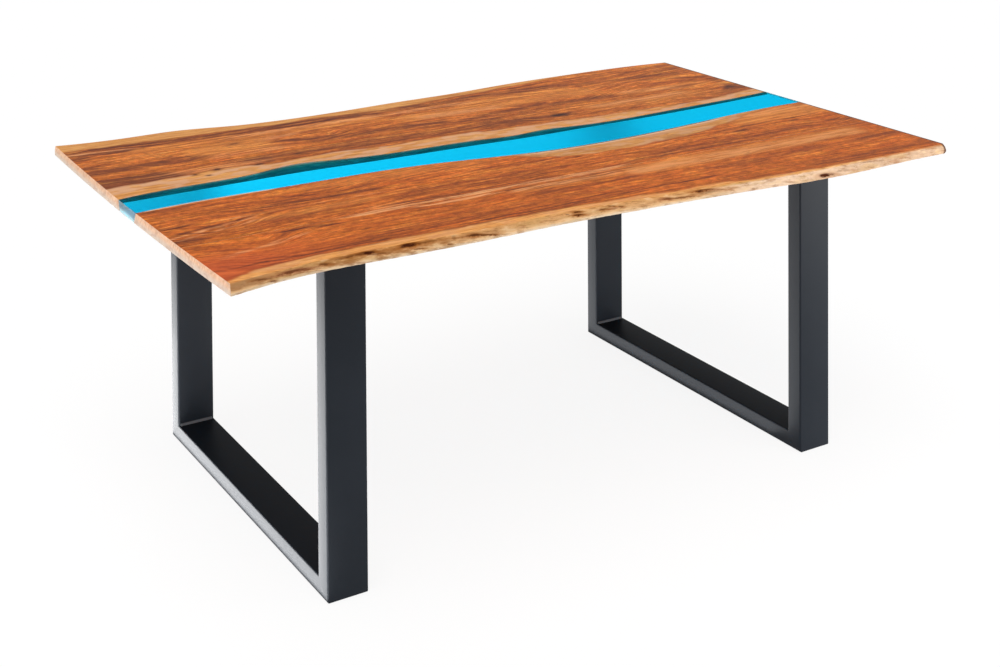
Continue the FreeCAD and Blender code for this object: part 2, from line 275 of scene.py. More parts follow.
class Block:
    """A closed block of quads over a lattice of stations along X, across Y and through Z, all 0 to 1."""

    def __init__(self, along, across, through):
        self.counts = (len(along) - 1, len(across) - 1, len(through) - 1)
        self.index = {}
        self.keys = []
        self.faces = []
        self.face_sides = []
        self.wrap()
        keys = np.array(self.keys)
        self.s = np.asarray(along)[keys[:, 0]]
        self.u = np.asarray(across)[keys[:, 1]]
        self.v = np.asarray(through)[keys[:, 2]]
        last = self.counts
        self.on = {
            "left": keys[:, 0] == 0, "right": keys[:, 0] == last[0],
            "front": keys[:, 1] == 0, "back": keys[:, 1] == last[1],
            "bottom": keys[:, 2] == 0, "top": keys[:, 2] == last[2],
        }

    def vertex(self, i, j, k):
        if (i, j, k) not in self.index:
            self.index[i, j, k] = len(self.keys)
            self.keys.append((i, j, k))
        return self.index[i, j, k]

    def quad(self, side, flip, *corners):
        face = [self.vertex(*corner) for corner in corners]
        self.faces.append(face[::-1] if flip else face)
        self.face_sides.append(side)

    def wrap(self):
        """The quads of all six sides, facing outwards."""
        along, across, through = self.counts
        for i in range(along):
            for j in range(across):
                for side, k in (("bottom", 0), ("top", through)):
                    self.quad(side, k == 0, (i, j, k), (i + 1, j, k), (i + 1, j + 1, k), (i, j + 1, k))
            for k in range(through):
                for side, j in (("front", 0), ("back", across)):
                    self.quad(side, j > 0, (i, j, k), (i + 1, j, k), (i + 1, j, k + 1), (i, j, k + 1))
        for j in range(across):
            for k in range(through):
                for side, i in (("left", 0), ("right", along)):
                    self.quad(side, i > 0, (i, j, k), (i, j, k + 1), (i, j + 1, k + 1), (i, j + 1, k))

    def mesh(self, name, points, soft_pairs):
        """The mesh with its points in place; soft_pairs are the sides whose shared edges get rounded."""
        mesh = bpy.data.meshes.new(name)
        mesh.from_pydata(points.tolist(), [], self.faces)
        edges = np.empty(len(mesh.edges) * 2, int)
        mesh.edges.foreach_get("vertices", edges)
        a, b = edges.reshape(-1, 2).T
        soft = np.zeros(len(a))
        for one, other in soft_pairs:
            both = self.on[one] & self.on[other]
            soft[both[a] & both[b]] = 1.0
        weights = mesh.attributes.new("bevel_weight_edge", "FLOAT", "EDGE")
        weights.data.foreach_set("value", soft)
        mesh.polygons.foreach_set("use_smooth", [True] * len(mesh.polygons))
        return mesh


ARC_ROUNDS = 4                      # X on the left end's arc and Y on the rails settle in this many rounds

# The edges where the sawn ends meet the top and the underside.
SAWN_ARRISES = [(face, end) for face in ("top", "bottom") for end in ("left", "right")]


def place_on_top(block, front, back):
    """X, Y and Z of a block between two sides of the top. A side is its lower and upper rails."""
    x = LEFT_CROWN + block.s * (RIGHT_END - LEFT_CROWN)
    z = UNDERSIDE + block.v * THICKNESS
    for _ in range(ARC_ROUNDS):
        front_y = front[0](x) * (1 - block.v) + front[1](x) * block.v
        back_y = back[0](x) * (1 - block.v) + back[1](x) * block.v
        y = front_y * (1 - block.u) + back_y * block.u
        start = left_end(y)
        x = start + block.s * (RIGHT_END - start)
    return np.stack([x, y, z], axis=1)


def spread(count, ends=()):
    """Places from 0 to 1, evenly, with more of them near both ends."""
    low = [0.0, *ends]
    inner = [place for place in np.linspace(0, 1, count + 1)[1:-1] if min(place, 1 - place) > low[-1]]
    return low + inner + [1 - place for place in reversed(low)]


# ================================================================ node trees
class Nodes:
    """The node tree of a material or a world, with one short call for each kind of node."""

    def __init__(self, owner, output="ShaderNodeOutputMaterial"):
        owner.use_nodes = True
        self.owner = owner
        self.tree = owner.node_tree
        self.tree.nodes.clear()
        self.output = self.tree.nodes.new(output)

    @cached_property
    def place(self):
        """A point's own coordinates, which are metres in the frame."""
        return self.node("ShaderNodeTexCoord", output="Object")

    def facing(self):
        """X, Y and Z of the way that a surface faces."""
        return self.separate(self.node("ShaderNodeNewGeometry", output="Normal"))

    def put(self, value, socket):
        if isinstance(value, bpy.types.NodeSocket):
            self.tree.links.new(value, socket)
        else:
            socket.default_value = value

    def node(self, kind, inputs=(), output=0, **settings):
        node = self.tree.nodes.new(kind)
        for name, value in settings.items():
            setattr(node, name, value)
        pairs = inputs.items() if isinstance(inputs, dict) else enumerate(inputs)
        for key, value in pairs:
            self.put(value, node.inputs[key])
        return node.outputs[output]

    def math(self, operation, *values, clamp=False):
        return self.node("ShaderNodeMath", values, operation=operation, use_clamp=clamp)

    def fold(self, operation, values):
        """One value after another through the same two-value operation."""
        total = values[0]
        for value in values[1:]:
            total = self.math(operation, total, value)
        return total

    def add(self, *values):
        return self.fold("ADD", values)

    def times(self, *values):
        return self.fold("MULTIPLY", values)

    def highest(self, *values):
        return self.fold("MAXIMUM", values)

    def ramp_up(self, value, low, high):
        """0 below low, 1 above high, smooth between; falls instead where low is above high."""
        return self.node("ShaderNodeMapRange", (value, low, high, 0.0, 1.0),
                         interpolation_type="SMOOTHSTEP")

    def window(self, value, low, high, soft):
        """1 between low and high, fading to 0 over soft outside them."""
        rise = self.ramp_up(value, low - soft, low)
        return self.times(rise, self.ramp_up(value, high + soft, high))

    def crease(self, value, width, core=0.0):
        """1 within core of a noise's middle value, fading to 0 at width: thin wandering lines."""
        return self.ramp_up(self.math("ABSOLUTE", self.add(value, -0.5)), width, core)

    def stretch(self, vector, scale, shift=(0.0, 0.0, 0.0)):
        return self.node("ShaderNodeVectorMath", (vector, scale, shift), operation="MULTIPLY_ADD")

    def measure(self, operation, *vectors):
        """A number worked out from vectors, such as their dot product or a length."""
        return self.node("ShaderNodeVectorMath", vectors, "Value", operation=operation)

    def brighten(self, colour, factor):
        return self.node("ShaderNodeVectorMath", {0: colour, "Scale": factor}, operation="SCALE")

    def separate(self, vector):
        node = self.tree.nodes.new("ShaderNodeSeparateXYZ")
        self.put(vector, node.inputs[0])
        return tuple(node.outputs)

    def join(self, x, y, z):
        return self.node("ShaderNodeCombineXYZ", (x, y, z))

    def noise(self, vector, scale=1.0, detail=2.0, roughness=0.5):
        return self.node("ShaderNodeTexNoise", {"Vector": vector, "Scale": scale, "Detail": detail,
                                                "Roughness": roughness})

    def streaky(self, vector, scales, shift=(0.0, 0.0, 0.0), **settings):
        """Noise with its own scale along each axis."""
        return self.noise(self.stretch(vector, scales, shift), **settings)

    def swing(self, value, size):
        """A noise turned into an offset from -size / 2 to size / 2."""
        return self.math("MULTIPLY_ADD", value, size, -size / 2)

    def mix(self, factor, first, second, blend="MIX"):
        node = self.tree.nodes.new("ShaderNodeMix")
        node.data_type = "RGBA"
        node.blend_type = blend
        for key, value in ((0, factor), (6, first), (7, second)):
            if key and not isinstance(value, bpy.types.NodeSocket):
                value = (*value, 1.0)
            self.put(value, node.inputs[key])
        return node.outputs[2]

    def wash(self, colour, tone, *shares, blend="MIX"):
        """A colour with a tone laid over it, as strongly as the product of the shares."""
        return self.mix(self.times(*shares), colour, tone, blend)

    def tones(self, factor, *stops):
        """A colour ramp; each stop is a place and a colour."""
        node = self.tree.nodes.new("ShaderNodeValToRGB")
        elements = node.color_ramp.elements
        while len(elements) < len(stops):
            elements.new(0.5)
        for element, (place, colour) in zip(elements, stops):
            element.position = place
            element.color = (*colour, 1.0)
        self.put(factor, node.inputs[0])
        return node.outputs[0]

    def attribute(self, name):
        return self.node("ShaderNodeAttribute", attribute_name=name, output="Fac")

    def bump(self, height, strength, distance):
        return self.node("ShaderNodeBump", {"Height": height, "Strength": strength, "Distance": distance})

    def blend_shaders(self, share, first, second):
        return self.node("ShaderNodeMixShader", (share, first, second))

    def finish(self, **shaders):
        """Link shaders to the output's sockets of those names, and return what the tree belongs to."""
        for socket, shader in shaders.items():
            self.tree.links.new(shader, self.output.inputs[socket])
        return self.owner

    def principled(self, **inputs):
        sockets = {name.replace("_", " "): value for name, value in inputs.items()}
        return self.finish(Surface=self.node("ShaderNodeBsdfPrincipled", sockets))


def new_material(name):
    return Nodes(bpy.data.materials.new(name))


# ================================================================ wood
# What sets the boards apart. Places and widths are metres on the top, with X along and Y across.
# seed: where the board's noises start. swirl: how far its grain wanders, in metres.
# calm: how quiet its rings are. shade and sap_shade: brightness of its heartwood and sapwood.
# red: share of a redder tone. stain and peach: shares of brown and of peach in its sapwood.
# heart_edge: (x, y) along the line where sapwood gives way to heartwood.
# bends: (x, y, reach along, reach across, shift across) push the grain lines aside.
# knots: (x, y, half length, half width, darkness) part the grain around them.
# streaks: (x from, y from, x to, y to, half width, darkness) run along the grain.
# pales and glows: the same as streaks, but peach coloured and golden.
# spots: the same as knots, but soft and without any pull on the grain.
BOARDS = {
    "back_outer_board": {
        "seed": 3.1, "swirl": 0.08, "calm": 1.0, "shade": 1.12, "red": 0.0,
        "sap_shade": 0.97, "stain": 0.3, "peach": 0.0,
        "heart_edge": ((-1.01, 0.45), (-0.85, 0.443), (-0.65, 0.436), (-0.45, 0.428), (-0.25, 0.423),
                       (0.0, 0.42), (0.15, 0.434), (0.3, 0.45), (0.5, 0.468), (0.75, 0.486), (1.0, 0.5)),
        "bends": ((0.62, 0.38, 0.3, 0.05, 0.03), (-0.93, 0.4, 0.1, 0.03, -0.022)),
        "knots": (),
        "streaks": ((-1.08, 0.438, -0.66, 0.427, 0.016, 1.0), (-1.08, 0.41, -0.8, 0.388, 0.01, 1.0),
                    (-0.84, 0.416, 0.08, 0.402, 0.019, 0.95), (-0.66, 0.402, -0.06, 0.392, 0.011, 1.0),
                    (0.02, 0.398, 0.26, 0.402, 0.014, 0.7), (0.18, 0.408, 0.58, 0.392, 0.02, 0.85),
                    (0.48, 0.388, 0.96, 0.345, 0.012, 0.55), (0.55, 0.44, 1.02, 0.43, 0.02, 0.3)),
        "pales": ((-1.06, 0.424, -0.82, 0.4, 0.006, 1.0), (-0.6, 0.372, 0.2, 0.366, 0.012, 0.5)),
        "glows": ((-0.88, 0.372, -0.5, 0.368, 0.024, 0.5), (-0.7, 0.352, -0.1, 0.35, 0.03, 0.5),
                  (0.1, 0.36, 0.55, 0.355, 0.02, 0.5)),
        "spots": ((-0.99, 0.378, 0.05, 0.026, 0.8), (0.97, 0.4, 0.04, 0.03, 0.5),
                  (-0.55, 0.35, 0.1, 0.01, 0.25)),
    },
    "back_middle_board": {
        "seed": 11.7, "swirl": 0.11, "calm": 1.1, "shade": 1.13, "red": 0.05,
        "sap_shade": 1.0, "stain": 0.6, "peach": 0.0,
        "heart_edge": (),
        "bends": ((-0.36, 0.26, 0.12, 0.035, 0.045), (0.34, 0.24, 0.2, 0.035, 0.04),
                  (0.8, 0.3, 0.25, 0.05, -0.04), (-0.78, 0.26, 0.1, 0.03, 0.025)),
        "knots": ((-0.585, 0.318, 0.016, 0.006, 0.55),),
        "streaks": ((-1.06, 0.256, -0.66, 0.252, 0.02, 0.65), (-0.8, 0.284, -0.68, 0.262, 0.007, 0.9),
                    (-0.5, 0.29, -0.28, 0.25, 0.016, 0.85), (-0.42, 0.248, 0.04, 0.236, 0.018, 0.75),
                    (0.02, 0.21, 0.2, 0.246, 0.012, 0.85), (0.12, 0.238, 0.42, 0.25, 0.014, 0.8),
                    (0.32, 0.248, 0.62, 0.232, 0.018, 0.85), (0.74, 0.34, 1.0, 0.27, 0.012, 0.7),
                    (-0.1, 0.212, 0.9, 0.216, 0.012, 0.35)),
        "pales": ((-0.52, 0.31, -0.38, 0.33, 0.01, 0.5), (-0.05, 0.296, 0.24, 0.29, 0.018, 0.5),
                  (0.62, 0.25, 0.85, 0.215, 0.016, 0.4), (-0.7, 0.24, -0.46, 0.24, 0.02, 0.35)),
        "glows": ((-0.74, 0.3, -0.48, 0.3, 0.045, 0.7), (-0.1, 0.31, 0.6, 0.305, 0.03, 0.6),
                  (0.6, 0.24, 0.95, 0.225, 0.02, 0.5)),
        "spots": ((-1.0, 0.3, 0.06, 0.02, 0.45), (0.98, 0.24, 0.03, 0.04, 0.6),
                  (-0.34, 0.262, 0.06, 0.016, 0.45)),
    },
    "back_river_board": {
        "seed": 21.3, "swirl": 0.09, "calm": 1.05, "shade": 1.02, "red": 0.0,
        "sap_shade": 1.01, "stain": 0.6, "peach": 0.75,
        "heart_edge": ((-1.01, 0.136), (-0.83, 0.137), (-0.74, 0.143), (-0.66, 0.14), (-0.6, 0.131),
                       (-0.47, 0.135), (-0.25, 0.121), (-0.03, 0.12), (0.1, 0.105), (0.25, 0.095),
                       (0.39, 0.085), (0.53, 0.078), (0.67, 0.071), (0.81, 0.078), (1.0, 0.102)),
        "bends": ((-0.9, 0.17, 0.1, 0.03, 0.016), (0.14, 0.16, 0.12, 0.03, -0.03)),
        "knots": ((0.318, 0.142, 0.034, 0.011, 1.0), (-0.717, 0.147, 0.01, 0.006, 0.9),
                  (-0.78, 0.135, 0.008, 0.005, 0.8), (-0.607, 0.138, 0.014, 0.005, 0.9),
                  (-0.48, 0.168, 0.014, 0.005, 0.7), (-0.752, 0.116, 0.007, 0.004, 0.8),
                  (0.955, 0.15, 0.022, 0.012, 0.7)),
        "streaks": ((-1.12, 0.182, -0.81, 0.172, 0.022, 1.0), (-1.12, 0.156, -0.78, 0.148, 0.021, 1.0),
                    (-1.08, 0.142, -0.86, 0.146, 0.008, 0.9), (-0.66, 0.182, -0.2, 0.168, 0.016, 0.75),
                    (-0.34, 0.16, 0.28, 0.148, 0.022, 0.65), (0.04, 0.15, 0.18, 0.2, 0.012, 0.7),
                    (0.84, 0.118, 1.02, 0.122, 0.014, 0.6), (0.9, 0.125, 0.99, 0.178, 0.008, 0.9),
                    (-0.7, 0.198, -0.1, 0.192, 0.006, 0.45)),
        "pales": ((0.44, 0.168, 0.8, 0.166, 0.014, 0.5), (-0.88, 0.162, -0.54, 0.165, 0.018, 0.35)),
        "glows": ((0.42, 0.16, 0.84, 0.15, 0.03, 0.4),),
        "spots": ((-0.92, 0.164, 0.1, 0.026, 0.85), (0.97, 0.16, 0.03, 0.04, 0.6)),
    },
    "front_river_board": {
        "seed": 33.9, "swirl": 0.05, "calm": 1.3, "shade": 1.14, "red": 0.4,
        "sap_shade": 0.88, "stain": 1.0, "peach": 0.55,
        "heart_edge": ((-1.01, -0.046), (-0.9, -0.04), (-0.7, -0.039), (-0.55, -0.03), (-0.1, -0.06),
                       (-0.02, -0.1), (0.08, -0.152), (0.18, -0.17), (0.36, -0.174), (0.5, -0.16),
                       (0.62, -0.136), (0.74, -0.098), (0.86, -0.072), (1.0, -0.06)),
        "bends": ((-0.58, -0.128, 0.17, 0.04, 0.026), (-0.88, -0.15, 0.1, 0.03, -0.02),
                  (0.25, -0.12, 0.3, 0.05, -0.03)),
        "knots": ((0.117, -0.178, 0.016, 0.004, 0.7),),
        "streaks": ((-0.78, -0.142, -0.42, -0.154, 0.008, 0.95),
                    (-0.74, -0.128, -0.44, -0.124, 0.004, 0.75),
                    (-0.7, -0.114, -0.46, -0.104, 0.003, 0.55),
                    (-1.08, -0.173, -0.92, -0.174, 0.009, 1.0), (-0.84, -0.16, -0.4, -0.166, 0.003, 0.5),
                    (0.56, -0.178, 0.76, -0.172, 0.006, 0.7), (-0.2, -0.15, 0.06, -0.17, 0.016, 0.35),
                    (0.8, -0.176, 0.9, -0.172, 0.005, 0.8), (0.4, -0.158, 0.58, -0.128, 0.007, 0.55)),
        "pales": ((-0.86, -0.178, -0.42, -0.178, 0.004, 0.6), (0.7, -0.1, 1.02, -0.1, 0.02, 0.3)),
        "glows": ((0.66, -0.12, 1.06, -0.125, 0.045, 0.8), (-0.62, -0.07, -0.1, -0.09, 0.03, 0.35)),
        "spots": ((-0.705, -0.146, 0.06, 0.012, 0.65), (0.24, -0.128, 0.1, 0.014, 0.35),
                  (0.42, -0.14, 0.06, 0.012, 0.35)),
    },
    "front_middle_board": {
        "seed": 41.2, "swirl": 0.045, "calm": 1.25, "shade": 1.05, "red": 0.45,
        "sap_shade": 1.0, "stain": 0.6, "peach": 0.0,
        "heart_edge": (),
        "bends": ((-0.88, -0.23, 0.14, 0.05, 0.045), (0.92, -0.25, 0.1, 0.04, 0.03)),
        "knots": ((0.64, -0.197, 0.034, 0.006, 0.6), (0.84, -0.192, 0.022, 0.005, 0.6)),
        "streaks": ((-1.02, -0.222, -0.78, -0.184, 0.005, 0.95), (-0.46, -0.212, 0.0, -0.225, 0.03, 0.4),
                    (-0.48, -0.264, -0.06, -0.268, 0.003, 0.9),
                    (-0.46, -0.275, -0.08, -0.279, 0.002, 0.8), (0.16, -0.262, 0.6, -0.268, 0.006, 0.85),
                    (0.26, -0.246, 0.84, -0.25, 0.01, 0.6), (0.84, -0.213, 1.02, -0.255, 0.008, 0.6),
                    (-1.08, -0.252, -0.92, -0.262, 0.014, 0.8), (-0.9, -0.23, -0.6, -0.236, 0.012, 0.25)),
        "pales": ((-0.66, -0.281, 0.2, -0.283, 0.005, 1.0), (-0.55, -0.262, -0.42, -0.272, 0.01, 0.4),
                  (-1.04, -0.24, -0.78, -0.19, 0.004, 0.8), (-1.04, -0.256, -0.76, -0.206, 0.003, 0.5)),
        "glows": ((-0.8, -0.215, -0.46, -0.205, 0.016, 0.5),),
        "spots": (),
    },
    "front_outer_board": {
        "seed": 57.4, "swirl": 0.04, "calm": 1.55, "shade": 1.09, "red": 0.5,
        "sap_shade": 1.14, "stain": 0.6, "peach": 0.2,
        "heart_edge": ((-1.01, -0.492), (-0.96, -0.476), (-0.92, -0.466), (-0.83, -0.456), (-0.65, -0.45),
                       (-0.47, -0.455), (-0.25, -0.459), (-0.03, -0.468), (0.1, -0.48), (0.25, -0.489),
                       (0.39, -0.503), (0.6, -0.518), (1.0, -0.53)),
        "bends": ((-0.05, -0.31, 0.2, 0.05, -0.02), (-0.84, -0.35, 0.1, 0.05, 0.045),
                  (-1.0, -0.42, 0.1, 0.06, -0.04)),
        "knots": (),
        "streaks": ((-0.98, -0.436, 0.34, -0.443, 0.0035, 0.85),
                    (-0.92, -0.422, 0.1, -0.428, 0.003, 0.65), (-0.82, -0.298, -0.62, -0.311, 0.006, 1.0),
                    (-0.24, -0.302, 0.2, -0.306, 0.0022, 0.9), (-0.2, -0.313, 0.18, -0.316, 0.0022, 0.8),
                    (-0.9, -0.45, 0.1, -0.452, 0.0025, 0.7), (-0.66, -0.4, 0.08, -0.404, 0.018, 0.35),
                    (-0.2, -0.352, 0.16, -0.36, 0.01, 0.5), (0.3, -0.4, 1.02, -0.395, 0.016, 0.45),
                    (-0.15, -0.325, 0.12, -0.328, 0.002, 0.7), (-0.18, -0.337, 0.15, -0.34, 0.002, 0.6),
                    (0.55, -0.49, 1.02, -0.495, 0.016, 0.45)),
        "pales": ((-0.62, -0.29, 0.16, -0.29, 0.005, 1.0), (-0.46, -0.304, -0.12, -0.308, 0.005, 0.9),
                  (-0.2, -0.316, 0.14, -0.316, 0.01, 0.6), (0.13, -0.33, 0.92, -0.335, 0.022, 0.5),
                  (-0.96, -0.378, -0.72, -0.33, 0.007, 0.5)),
        "glows": ((-0.2, -0.318, 0.14, -0.32, 0.02, 0.5), (0.13, -0.325, 0.94, -0.33, 0.03, 0.8)),
        "spots": (),
    },
}

# Fissures and knots in a live edge: (x from, depth below the top there, x to, depth there, half height,
# pit depth, darkness).
FRONT_FISSURES = (
    (-0.945, 0.0065, -0.905, 0.011, 0.002, 0.0012, 0.55),
    (-0.906, 0.0175, -0.892, 0.02, 0.0018, 0.001, 0.6),
    (-0.886, 0.008, -0.815, 0.0115, 0.0026, 0.002, 0.55),
    (-0.788, 0.008, -0.764, 0.012, 0.0024, 0.0014, 0.6),
    (-0.74, 0.0052, -0.65, 0.0052, 0.0024, 0.0016, 0.6),
    (-0.694, 0.0042, -0.656, 0.0056, 0.003, 0.002, 1.0),
    (-0.68, 0.0075, -0.625, 0.0125, 0.0022, 0.0012, 0.55),
    (-0.596, 0.005, -0.556, 0.006, 0.004, 0.0036, 1.0),
    (-0.604, 0.005, -0.51, 0.0056, 0.0022, 0.0012, 0.55),
    (-0.564, 0.0135, -0.543, 0.0155, 0.001, 0.0008, 0.5),
    (-0.485, 0.016, -0.472, 0.018, 0.0012, 0.0012, 0.6),
    (-0.472, 0.005, -0.462, 0.006, 0.0032, 0.0008, 0.35),
    (-0.45, 0.0068, -0.385, 0.012, 0.0018, 0.0014, 0.6),
    (-0.428, 0.008, -0.4, 0.0105, 0.003, 0.002, 0.85), (-0.41, 0.011, -0.356, 0.0172, 0.0014, 0.002, 0.8),
    (-0.17, 0.0045, -0.16, 0.0075, 0.0016, 0.001, 0.45),
    (-0.147, 0.004, -0.126, 0.006, 0.0018, 0.002, 0.85), (-0.15, 0.01, -0.12, 0.013, 0.0018, 0.002, 0.9),
    (-0.078, 0.009, -0.054, 0.0105, 0.0016, 0.0016, 0.7),
    (-0.058, 0.0032, -0.036, 0.006, 0.0009, 0.001, 0.75),
    (-0.026, 0.0085, -0.012, 0.0105, 0.0018, 0.0014, 0.6),
    (0.095, 0.0085, 0.125, 0.0125, 0.0026, 0.0018, 0.55),
    (0.118, 0.0112, 0.198, 0.0148, 0.0013, 0.0014, 0.55),
    (0.188, 0.0046, 0.244, 0.0072, 0.0022, 0.0028, 0.95),
    (0.19, 0.011, 0.265, 0.0122, 0.0026, 0.0012, 0.35),
    (0.24, 0.0085, 0.276, 0.0108, 0.0011, 0.001, 0.45),
    (0.558, 0.016, 0.602, 0.0178, 0.0038, 0.0036, 1.0), (0.612, 0.0128, 0.664, 0.0146, 0.002, 0.001, 0.3),
    (0.704, 0.005, 0.8, 0.012, 0.001, 0.0016, 0.6),
)
BACK_FISSURES = (
    (-0.94, 0.009, -0.88, 0.0115, 0.0024, 0.002, 0.65), (-0.8, 0.007, -0.72, 0.009, 0.0018, 0.0014, 0.55),
    (-0.65, 0.011, -0.585, 0.015, 0.0026, 0.003, 0.9), (-0.47, 0.007, -0.44, 0.0095, 0.002, 0.0018, 0.7),
    (-0.38, 0.014, -0.28, 0.0165, 0.0016, 0.0012, 0.45),
    (-0.16, 0.008, -0.115, 0.0105, 0.002, 0.0022, 0.75), (-0.01, 0.01, 0.05, 0.014, 0.0026, 0.0028, 0.9),
    (0.055, 0.0165, 0.08, 0.018, 0.0014, 0.0014, 0.55), (0.2, 0.007, 0.3, 0.0095, 0.0014, 0.0012, 0.45),
    (0.385, 0.011, 0.435, 0.014, 0.0026, 0.003, 0.9), (0.56, 0.014, 0.65, 0.0165, 0.0014, 0.0014, 0.5),
    (0.765, 0.0065, 0.8, 0.0095, 0.0014, 0.0016, 0.6), (0.89, 0.011, 0.965, 0.0135, 0.0022, 0.0016, 0.5),
)
EDGE_FISSURES = {"front_outer_board": FRONT_FISSURES, "back_outer_board": BACK_FISSURES}
# Purple brown patches on the live edges: the same without the pit depth.
EDGE_PATCHES = {
    "front_outer_board": ((-0.9, 0.008, -0.795, 0.0125, 0.005, 1.0),
                          (-0.06, 0.0095, -0.024, 0.0105, 0.0026, 0.5),
                          (0.085, 0.0078, 0.126, 0.0118, 0.0036, 0.7)),
    "back_outer_board": ((-0.7, 0.009, -0.6, 0.0125, 0.0045, 0.7),
                         (0.34, 0.009, 0.42, 0.012, 0.004, 0.6)),
}

GRAIN_SLOPE = 0.45              # the rings shift this far across for each metre up
CORNER_BULGE = 0.0068           # of the front live edge at the right end, at half the thickness
CORNER_START = 0.93             # where along the edge it starts


def away_from(n, x, y, place, reach):
    """The way from a place to a point, in units of the reach along and across."""
    return n.stretch(n.join(x, y, 0.0), (1 / reach[0], 1 / reach[1], 0.0),
                     (-place[0] / reach[0], -place[1] / reach[1], 0.0))


def bent_across(n, x, across, features):
    """The grain's own coordinate across the board, pushed aside by bends and knots."""
    for place_x, place_y, reach_x, reach_y, shift in features["bends"]:
        away = away_from(n, x, across, (place_x, place_y), (reach_x, reach_y))
        fade = n.math("POWER", math.e, n.times(n.measure("DOT_PRODUCT", away, away), -1.0))
        across = n.math("MULTIPLY_ADD", fade, shift, across)
    for place_x, place_y, half_length, half_width, _ in features["knots"]:
        away = away_from(n, x, across, (place_x, place_y), (half_length * 2.2, half_width * 2.4))
        squared = n.measure("DOT_PRODUCT", away, away)
        pull = n.math("DIVIDE", -0.75, n.math("POWER", n.add(squared, 1.0), 1.6))
        across = n.math("MULTIPLY_ADD", pull, n.add(across, -place_y), across)
    return across


def streak_mask(n, g, streaks):
    """How strongly any of the streaks covers a point."""
    total = 0.0
    for x0, y0, x1, y1, half_width, strength in streaks:
        slope = (y1 - y0) / (x1 - x0)
        centre = n.math("MULTIPLY_ADD", g.x, slope, y0 - slope * x0)
        away = n.math("ABSOLUTE", n.math("SUBTRACT", n.add(g.y, g.wobble), centre))
        taper = n.window(g.x, x0 + 0.05, x1 - 0.05, 0.07)
        body = n.ramp_up(away, half_width * 1.5, half_width * 0.35)
        total = n.highest(total, n.times(body, taper, strength))
    return total


def spot_mask(n, g, ragged, spots):
    """How strongly any of the spots covers a point."""
    total = 0.0
    for place_x, place_y, reach_x, reach_y, strength in spots:
        away = n.measure("LENGTH", away_from(n, g.x, g.y, (place_x, place_y), (reach_x, reach_y)))
        total = n.highest(total, n.times(n.ramp_up(n.add(away, ragged), 1.25, 0.35), strength))
    return total


def fissure_masks(n, x, below, ragged, fissures):
    """How strongly the hearts and the surroundings of any of the fissures cover a point of a live edge."""
    heart, around = 0.0, 0.0
    for x0, down0, x1, down1, half_height, darkness in fissures:
        slope = (down1 - down0) / (x1 - x0)
        level = n.math("MULTIPLY_ADD", x, -slope, below)
        place = (x0 + x1) / 2, down0 - slope * x0
        away = n.measure("LENGTH", away_from(n, x, level, place, ((x1 - x0) / 2, half_height)))
        away = n.add(away, ragged)
        heart = n.highest(heart, n.times(n.ramp_up(away, 1.35, 0.55), darkness))
        around = n.highest(around, n.times(n.ramp_up(away, 2.7, 1.0), darkness))
    return heart, around


def wood_grain(n, features, figure_depth):
    """A point's coordinates on a board, and the noises that the board's figure is made from."""
    x, y, z = n.separate(n.place)
    seed = features["seed"]
    slow = n.streaky(n.place, (1.5, 5.0, 5.0), (seed, seed, 0.0), detail=1.5)
    quick = n.streaky(n.place, (5.0, 22.0, 14.0), (0.0, seed, seed), detail=3.0)
    across = n.math("MULTIPLY_ADD", z, GRAIN_SLOPE, y)
    across = n.add(across, -GRAIN_SLOPE * SURFACE, n.swing(slow, features["swirl"]), n.swing(quick, 0.020))
    across = bent_across(n, x, across, features)
    grain = n.join(x, across, z)
    broad = n.streaky(grain, (1.5, 24.0, 4.0), (seed, 0.0, 0.0), detail=4.0, roughness=0.6)
    rings = n.streaky(grain, (6.5, 105.0, 9.0), (seed, 0.0, 0.0), detail=4.0, roughness=0.68)
    fine = n.streaky(grain, (14.0, 400.0, 60.0), (seed, 0.0, 0.0), detail=3.0, roughness=0.65)
    flecks = n.streaky(grain, (24.0, 150.0, 70.0), (0.0, seed, 0.0), detail=3.0)
    lines = n.streaky(grain, (0.7, 75.0, 6.0), (seed, 7.0, 0.0), detail=3.0)
    hairs = n.streaky(grain, (1.2, 190.0, 12.0), (seed, 11.0, 0.0), detail=3.0, roughness=0.6)
    patches = n.streaky(n.place, (2.0, 11.0, 3.0), (seed, 2.0, 0.0), detail=2.0)
    wobble = n.streaky(n.place, (14.0, 60.0, 20.0), (seed, 0.0, 0.0), detail=3.0)
    tone = n.add(n.times(broad, 0.21), n.times(rings, 0.44), n.times(fine, 0.35))
    reach = 0.094 * features["calm"] / figure_depth
    return SimpleNamespace(
        x=x, y=y, z=z, across=across, rings=rings, fine=fine,
        tone=n.node("ShaderNodeMapRange", (tone, 0.5 - reach, 0.5 + reach, 0.0, 1.0)),
        fibre=n.streaky(grain, (60.0, 2600.0, 500.0), detail=2.0),
        line=n.highest(n.times(n.crease(lines, 0.016), n.ramp_up(patches, 0.44, 0.60)),
                       n.times(n.ramp_up(flecks, 0.58, 0.68), 0.9),
                       n.times(n.crease(hairs, 0.030, 0.004), n.ramp_up(slow, 0.40, 0.52), 0.75)),
        wobble=n.swing(wobble, 0.018),
        sheen=n.streaky(n.place, (5.0, 9.0, 3.0), (0.0, seed, 0.0), detail=4.0),
        curl=n.streaky(n.place, (34.0, 62.0, 30.0), (seed, 0.0, 3.0), detail=4.0, roughness=0.65),
        hue=n.streaky(n.place, (16.0, 46.0, 20.0), (3.0, seed, 0.0), detail=3.0),
        grit=n.streaky(n.place, (80.0, 120.0, 50.0), (0.0, 0.0, seed), detail=4.0, roughness=0.7),
    )


